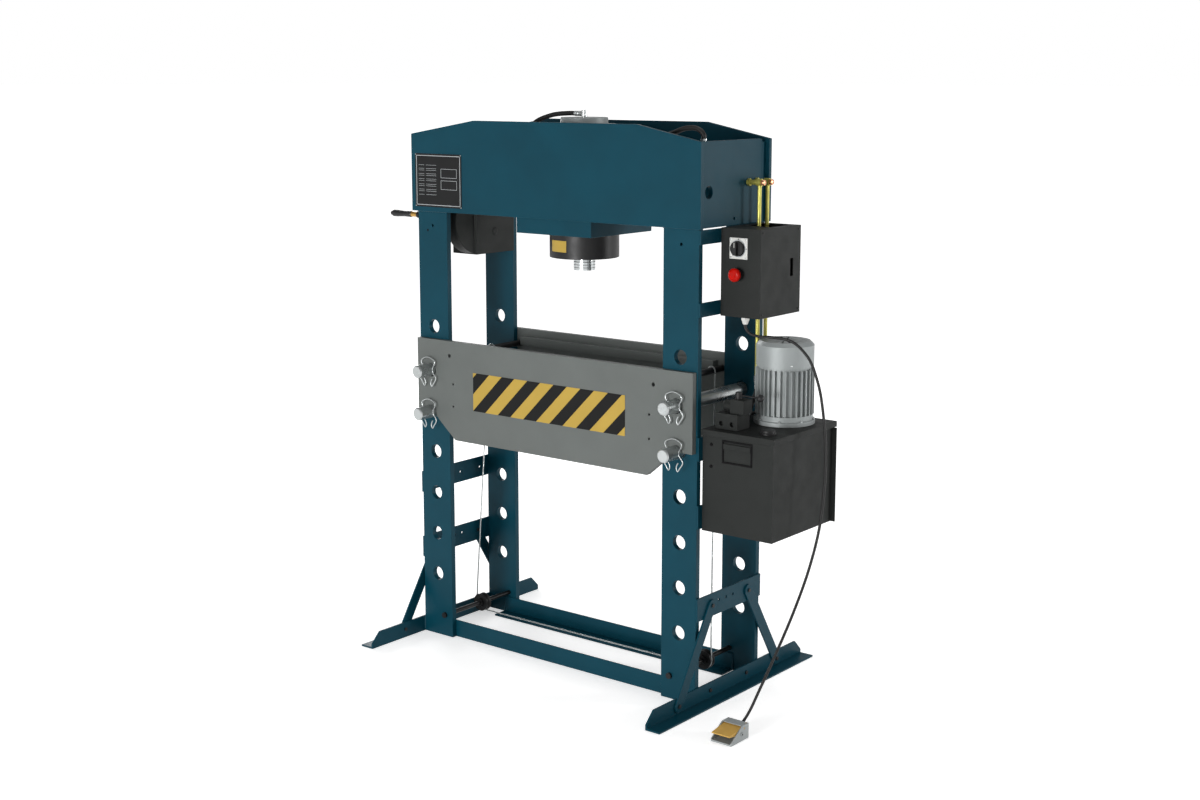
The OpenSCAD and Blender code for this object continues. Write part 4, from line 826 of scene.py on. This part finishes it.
# Weld beads with a rippled throat
BEAD_STEP = 0.0025
BEAD_RIPPLE = 0.12
BEAD_TURN = 1.7
COL_IN = 0.465
COL_OUT = 0.601
COL_OUTER_Y = 0.183
FOOT_WELD_Z = (0.008, 0.055)
RAIL_WELD_X = 0.515
RAIL_WELD_ENDS = ((0.157, 0.006), (0.163, 0.060))
HEAD_WELD_Y = 0.184
RIB_WELD_X = 0.1675
RIB_WELD_Y = 0.182
HEAD_LOW_Z = 1.533
RIB_HIGH_Z = 1.623
FOOT_BEAD_R = 0.003
RAIL_BEAD_R = 0.0025
HEAD_BEAD_R = 0.003
RIB_BEAD_R = 0.0015


def weld_bead(name, start, end, radius):
    a = Vector(start)
    b = Vector(end)
    count = max(8, int((b - a).length / BEAD_STEP))
    path = [a + (b - a) * i / count for i in range(count + 1)]
    tube(name, [path], radius, "weld", rings=2,
         swell=lambda i: 1 + BEAD_RIPPLE * math.sin(i * BEAD_TURN))


def make_welds():
    for side, tag in ((-1, "left"), (1, "right")):
        for end, name in ((-1, "front"), (1, "rear")):
            foot = [(side * COL_OUT, end * COL_OUTER_Y, z) for z in FOOT_WELD_Z]
            rail = [(side * RAIL_WELD_X, end * y, z) for y, z in RAIL_WELD_ENDS]
            head = [(side * x, end * HEAD_WELD_Y, HEAD_LOW_Z) for x in (COL_IN, COL_OUT)]
            weld_bead(f"weld_foot_{tag}_{name}", *foot, FOOT_BEAD_R)
            weld_bead(f"weld_rail_{tag}_{name}", *rail, RAIL_BEAD_R)
            weld_bead(f"weld_head_{tag}_{name}", *head, HEAD_BEAD_R)
    for z in (HEAD_LOW_Z, RIB_HIGH_Z):
        for x, tag in ((-RIB_WELD_X, "l"), (RIB_WELD_X, "r")):
            rib = [(x, end * RIB_WELD_Y, z) for end in (-1, 1)]
            weld_bead(f"weld_rib_{tag}_{int(z * 1000)}", *rib, RIB_BEAD_R)


make_welds()


# Tank front: a thin rim of painted shade round the pull recess, its floor and grip, and two cover screws in
# the same near-black painted shade
RECESS_X = 0.737
RECESS_Z = 0.843
RECESS_HALF_W = 0.050
RECESS_HALF_H = 0.031
RECESS_RIM = 0.006
RIM_PROUD = 0.0025
RIM_SUNK = 0.001
RECESS_FLOOR = (0.0010, 0.0014)
GRIP_DROP = (0.022, 0.004)
GRIP_PROUD = 0.0045
GRIP_SUNK = 0.0012
TANK_SCREW = [(0.0055, 0), (0.0055, 0.0012), (0.0045, 0.003), (0.002, 0.0036)]
TANK_SCREW_X = 0.640
TANK_SCREW_ZS = (0.860, 0.790)


def make_tank_trim():
    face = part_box("tank")[0].y
    x0 = RECESS_X - RECESS_HALF_W
    x1 = RECESS_X + RECESS_HALF_W
    z0 = RECESS_Z - RECESS_HALF_H
    z1 = RECESS_Z + RECESS_HALF_H
    rims = ((x0 - RECESS_RIM, x1 + RECESS_RIM, z1, z1 + RECESS_RIM),
            (x0 - RECESS_RIM, x1 + RECESS_RIM, z0 - RECESS_RIM, z0),
            (x0 - RECESS_RIM, x0, z0, z1), (x1, x1 + RECESS_RIM, z0, z1))
    for i, (xa, xb, za, zb) in enumerate(rims):
        block(f"recess_rim_shade_{i + 1}", (xa, face - RIM_PROUD, za), (xb, face + RIM_SUNK, zb), "painted_hole_shade",
              bevel=0.001)
    front, back = RECESS_FLOOR
    block("recess_floor", (x0, face + front, z0), (x1, face + back, z1), "black_powder", bevel=0.0001)
    low_drop, high_drop = GRIP_DROP
    block("recess_grip", (x0, face - GRIP_PROUD, z1 - low_drop), (x1, face + GRIP_SUNK, z1 - high_drop),
          "black_powder", bevel=0.002)
    for i, z in enumerate(TANK_SCREW_ZS):
        lathe(f"tank_screw_{i + 1}", TANK_SCREW, (TANK_SCREW_X, face, z), FRONT, "painted_hole_shade", sides=24)


make_tank_trim()


# Motor: flange bolts and cowl screws
MOTOR_X = 0.752
MOTOR_Y = 0.083
FLANGE_STEP = 0.01395
FLANGE_BOLTS = 8
FLANGE_BOLT_REACH = 0.0945
FLANGE_BOLT = [(0.0035, 0), (0.0035, 0.004), (0.003, 0.005), (0.0015, 0.0052)]
COWL_SCREWS = 4
COWL_SCREW_RISE = 0.009
COWL_R = 0.0915
COWL_SCREW = [(0.0035, 0), (0.0035, 0.001), (0.0025, 0.0022), (0.001, 0.0026)]


def outward(i, count):
    """Direction of one of several places spread evenly round the motor."""
    a = math.radians((i + 0.5) * 360 / count)
    return Vector((math.cos(a), math.sin(a), 0))


def make_motor_trim():
    flange = Vector((MOTOR_X, MOTOR_Y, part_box("motor_flange")[0].z + FLANGE_STEP))
    for i in range(FLANGE_BOLTS):
        place = flange + outward(i, FLANGE_BOLTS) * FLANGE_BOLT_REACH
        lathe(f"flange_bolt_{i + 1}", FLANGE_BOLT, place, UP, "bright_steel", sides=6)
    cowl = Vector((MOTOR_X, MOTOR_Y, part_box("motor_cowl")[0].z + COWL_SCREW_RISE))
    for i in range(COWL_SCREWS):
        out = outward(i, COWL_SCREWS)
        lathe(f"cowl_screw_{i + 1}", COWL_SCREW, cowl + out * COWL_R, out, "bright_steel", sides=20)


make_motor_trim()


# Control box: cover screws on its right side
BOX_SCREW_INSET = 0.012
BOX_SCREW = [(0.0036, 0), (0.0036, 0.001), (0.0024, 0.0022), (0.001, 0.0026)]


def make_box_trim():
    low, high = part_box("control_box")
    ys = (low.y + BOX_SCREW_INSET, high.y - BOX_SCREW_INSET)
    zs = (low.z + BOX_SCREW_INSET, high.z - BOX_SCREW_INSET)
    for i, (y, z) in enumerate([(y, z) for y in ys for z in zs]):
        lathe(f"box_screw_{i + 1}", BOX_SCREW, (high.x, y, z), RIGHT, "blackened_steel", sides=20)


make_box_trim()


# Pedal: socket screw in its right cheek, with its socket drawn as a dark disc of painted shade
PEDAL_SCREW_BACK = 0.038
PEDAL_SCREW_RISE = 0.022
PEDAL_SCREW_R = 0.0062
PEDAL_SCREW_HEAD = 0.0026
PEDAL_SCREW = [(PEDAL_SCREW_R, 0), (PEDAL_SCREW_R, PEDAL_SCREW_HEAD * 0.7),
               (PEDAL_SCREW_R * 0.86, PEDAL_SCREW_HEAD)]
PEDAL_SOCKET_SHADE = [(PEDAL_SCREW_R * 0.52, 0), (PEDAL_SCREW_R * 0.5, 0.0002)]


def make_pedal_trim():
    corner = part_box("pedal_housing")[1]
    place = Vector((corner.x, corner.y - PEDAL_SCREW_BACK, PEDAL_SCREW_RISE))
    lathe("pedal_screw", PEDAL_SCREW, place, RIGHT, "pedal_metal", sides=28)
    lathe("pedal_screw_socket_shade", PEDAL_SOCKET_SHADE, place + Vector(RIGHT) * PEDAL_SCREW_HEAD, RIGHT, "painted_hole_shade",
          sides=6)


make_pedal_trim()


# Studio: pale floor fading into a white distance, a low front light, and soft light from the sides and above
FLOOR_HALF = 300
FLOOR_DROP = 0.0005
FLOOR_COLOR = (0.88, 0.88, 0.88)
WHITE = (1, 1, 1, 1)
# Distances between which the floor's glow changes, and its strengths there
GLOW_REACH = (1.2, 7.0)
GLOW = (0.5, 0.85)
# Heights of the sky between which its light changes, and its strengths there
SKY_HEIGHTS = (0.08, 0.4)
SKY = (1.0, 0.28)
# Place, target, size and power of each lamp
LAMPS = {
    "key": ((0.6, -6.0, 1.3), (0, 0, 1.0), 1.6, 252),
    "fill": ((5.5, 3.5, 1.9), (0.6, 0, 1.1), 1.2, 130),
    "side": ((-5.0, 2.5, 2.6), (0, 0, 0.9), 3.0, 150),
    "top": ((0.3, 0.9, 5.5), (0, 0, 0), 3.0, 55)}


def only_as_backdrop(tree, strength):
    """Keeps a glow for rays that show the background, so that it lights nothing."""
    rays = tree.nodes.new("ShaderNodeLightPath")
    seen = rays.outputs["Is Camera Ray"]
    for kind in ("Is Glossy Ray", "Is Transmission Ray"):
        either = tree.nodes.new("ShaderNodeMath")
        either.operation = "MAXIMUM"
        tree.links.new(seen, either.inputs[0])
        tree.links.new(rays.outputs[kind], either.inputs[1])
        seen = either.outputs["Value"]
    gate = tree.nodes.new("ShaderNodeMath")
    gate.operation = "MULTIPLY"
    tree.links.new(strength, gate.inputs[0])
    tree.links.new(seen, gate.inputs[1])
    return gate.outputs["Value"]


def make_stage():
    mesh = bpy.data.meshes.new("floor")
    corners = [(x * FLOOR_HALF, y * FLOOR_HALF, 0) for x, y in ((-1, -1), (1, -1), (1, 1), (-1, 1))]
    mesh.from_pydata(corners, [], [(0, 1, 2, 3)])
    floor = bpy.data.objects.new("floor", mesh)
    material = surface("floor_pale", FLOOR_COLOR, roughness=0.9, mottle=0.005, mottle_scale=0.5, sheen=0.1)
    tree = material.node_tree
    shader = tree.nodes["Principled BSDF"]
    shader.inputs["Emission Color"].default_value = WHITE
    coord = tree.nodes.new("ShaderNodeTexCoord")
    distance = tree.nodes.new("ShaderNodeVectorMath")
    distance.operation = "LENGTH"
    tree.links.new(coord.outputs["Object"], distance.inputs[0])
    glow = change(tree, distance.outputs["Value"], *GLOW_REACH, *GLOW, "SMOOTHSTEP")
    tree.links.new(only_as_backdrop(tree, glow), shader.inputs["Emission Strength"])
    mesh.materials.append(material)
    floor.location.z = -FLOOR_DROP
    bpy.context.scene.collection.objects.link(floor)


def area_light(name, place, target, size, power):
    data = bpy.data.lights.new(name, "AREA")
    data.shape = "DISK"
    data.size = size
    data.energy = power
    light = bpy.data.objects.new(name, data)
    light.location = place
    light.rotation_euler = (Vector(target) - Vector(place)).to_track_quat("-Z", "Y").to_euler()
    bpy.context.scene.collection.objects.link(light)


def make_light():
    world = bpy.data.worlds.new("studio")
    world.use_nodes = True
    tree = world.node_tree
    background = tree.nodes["Background"]
    background.inputs["Color"].default_value = WHITE
    coord = tree.nodes.new("ShaderNodeTexCoord")
    direction = tree.nodes.new("ShaderNodeSeparateXYZ")
    tree.links.new(coord.outputs["Generated"], direction.inputs["Vector"])
    strength = change(tree, direction.outputs["Z"], *SKY_HEIGHTS, *SKY, "SMOOTHSTEP")
    tree.links.new(strength, background.inputs["Strength"])
    bpy.context.scene.world = world
    for name, lamp in LAMPS.items():
        area_light(name, *lamp)


make_stage()
make_light()
bpy.context.scene.view_settings.view_transform = "Standard"
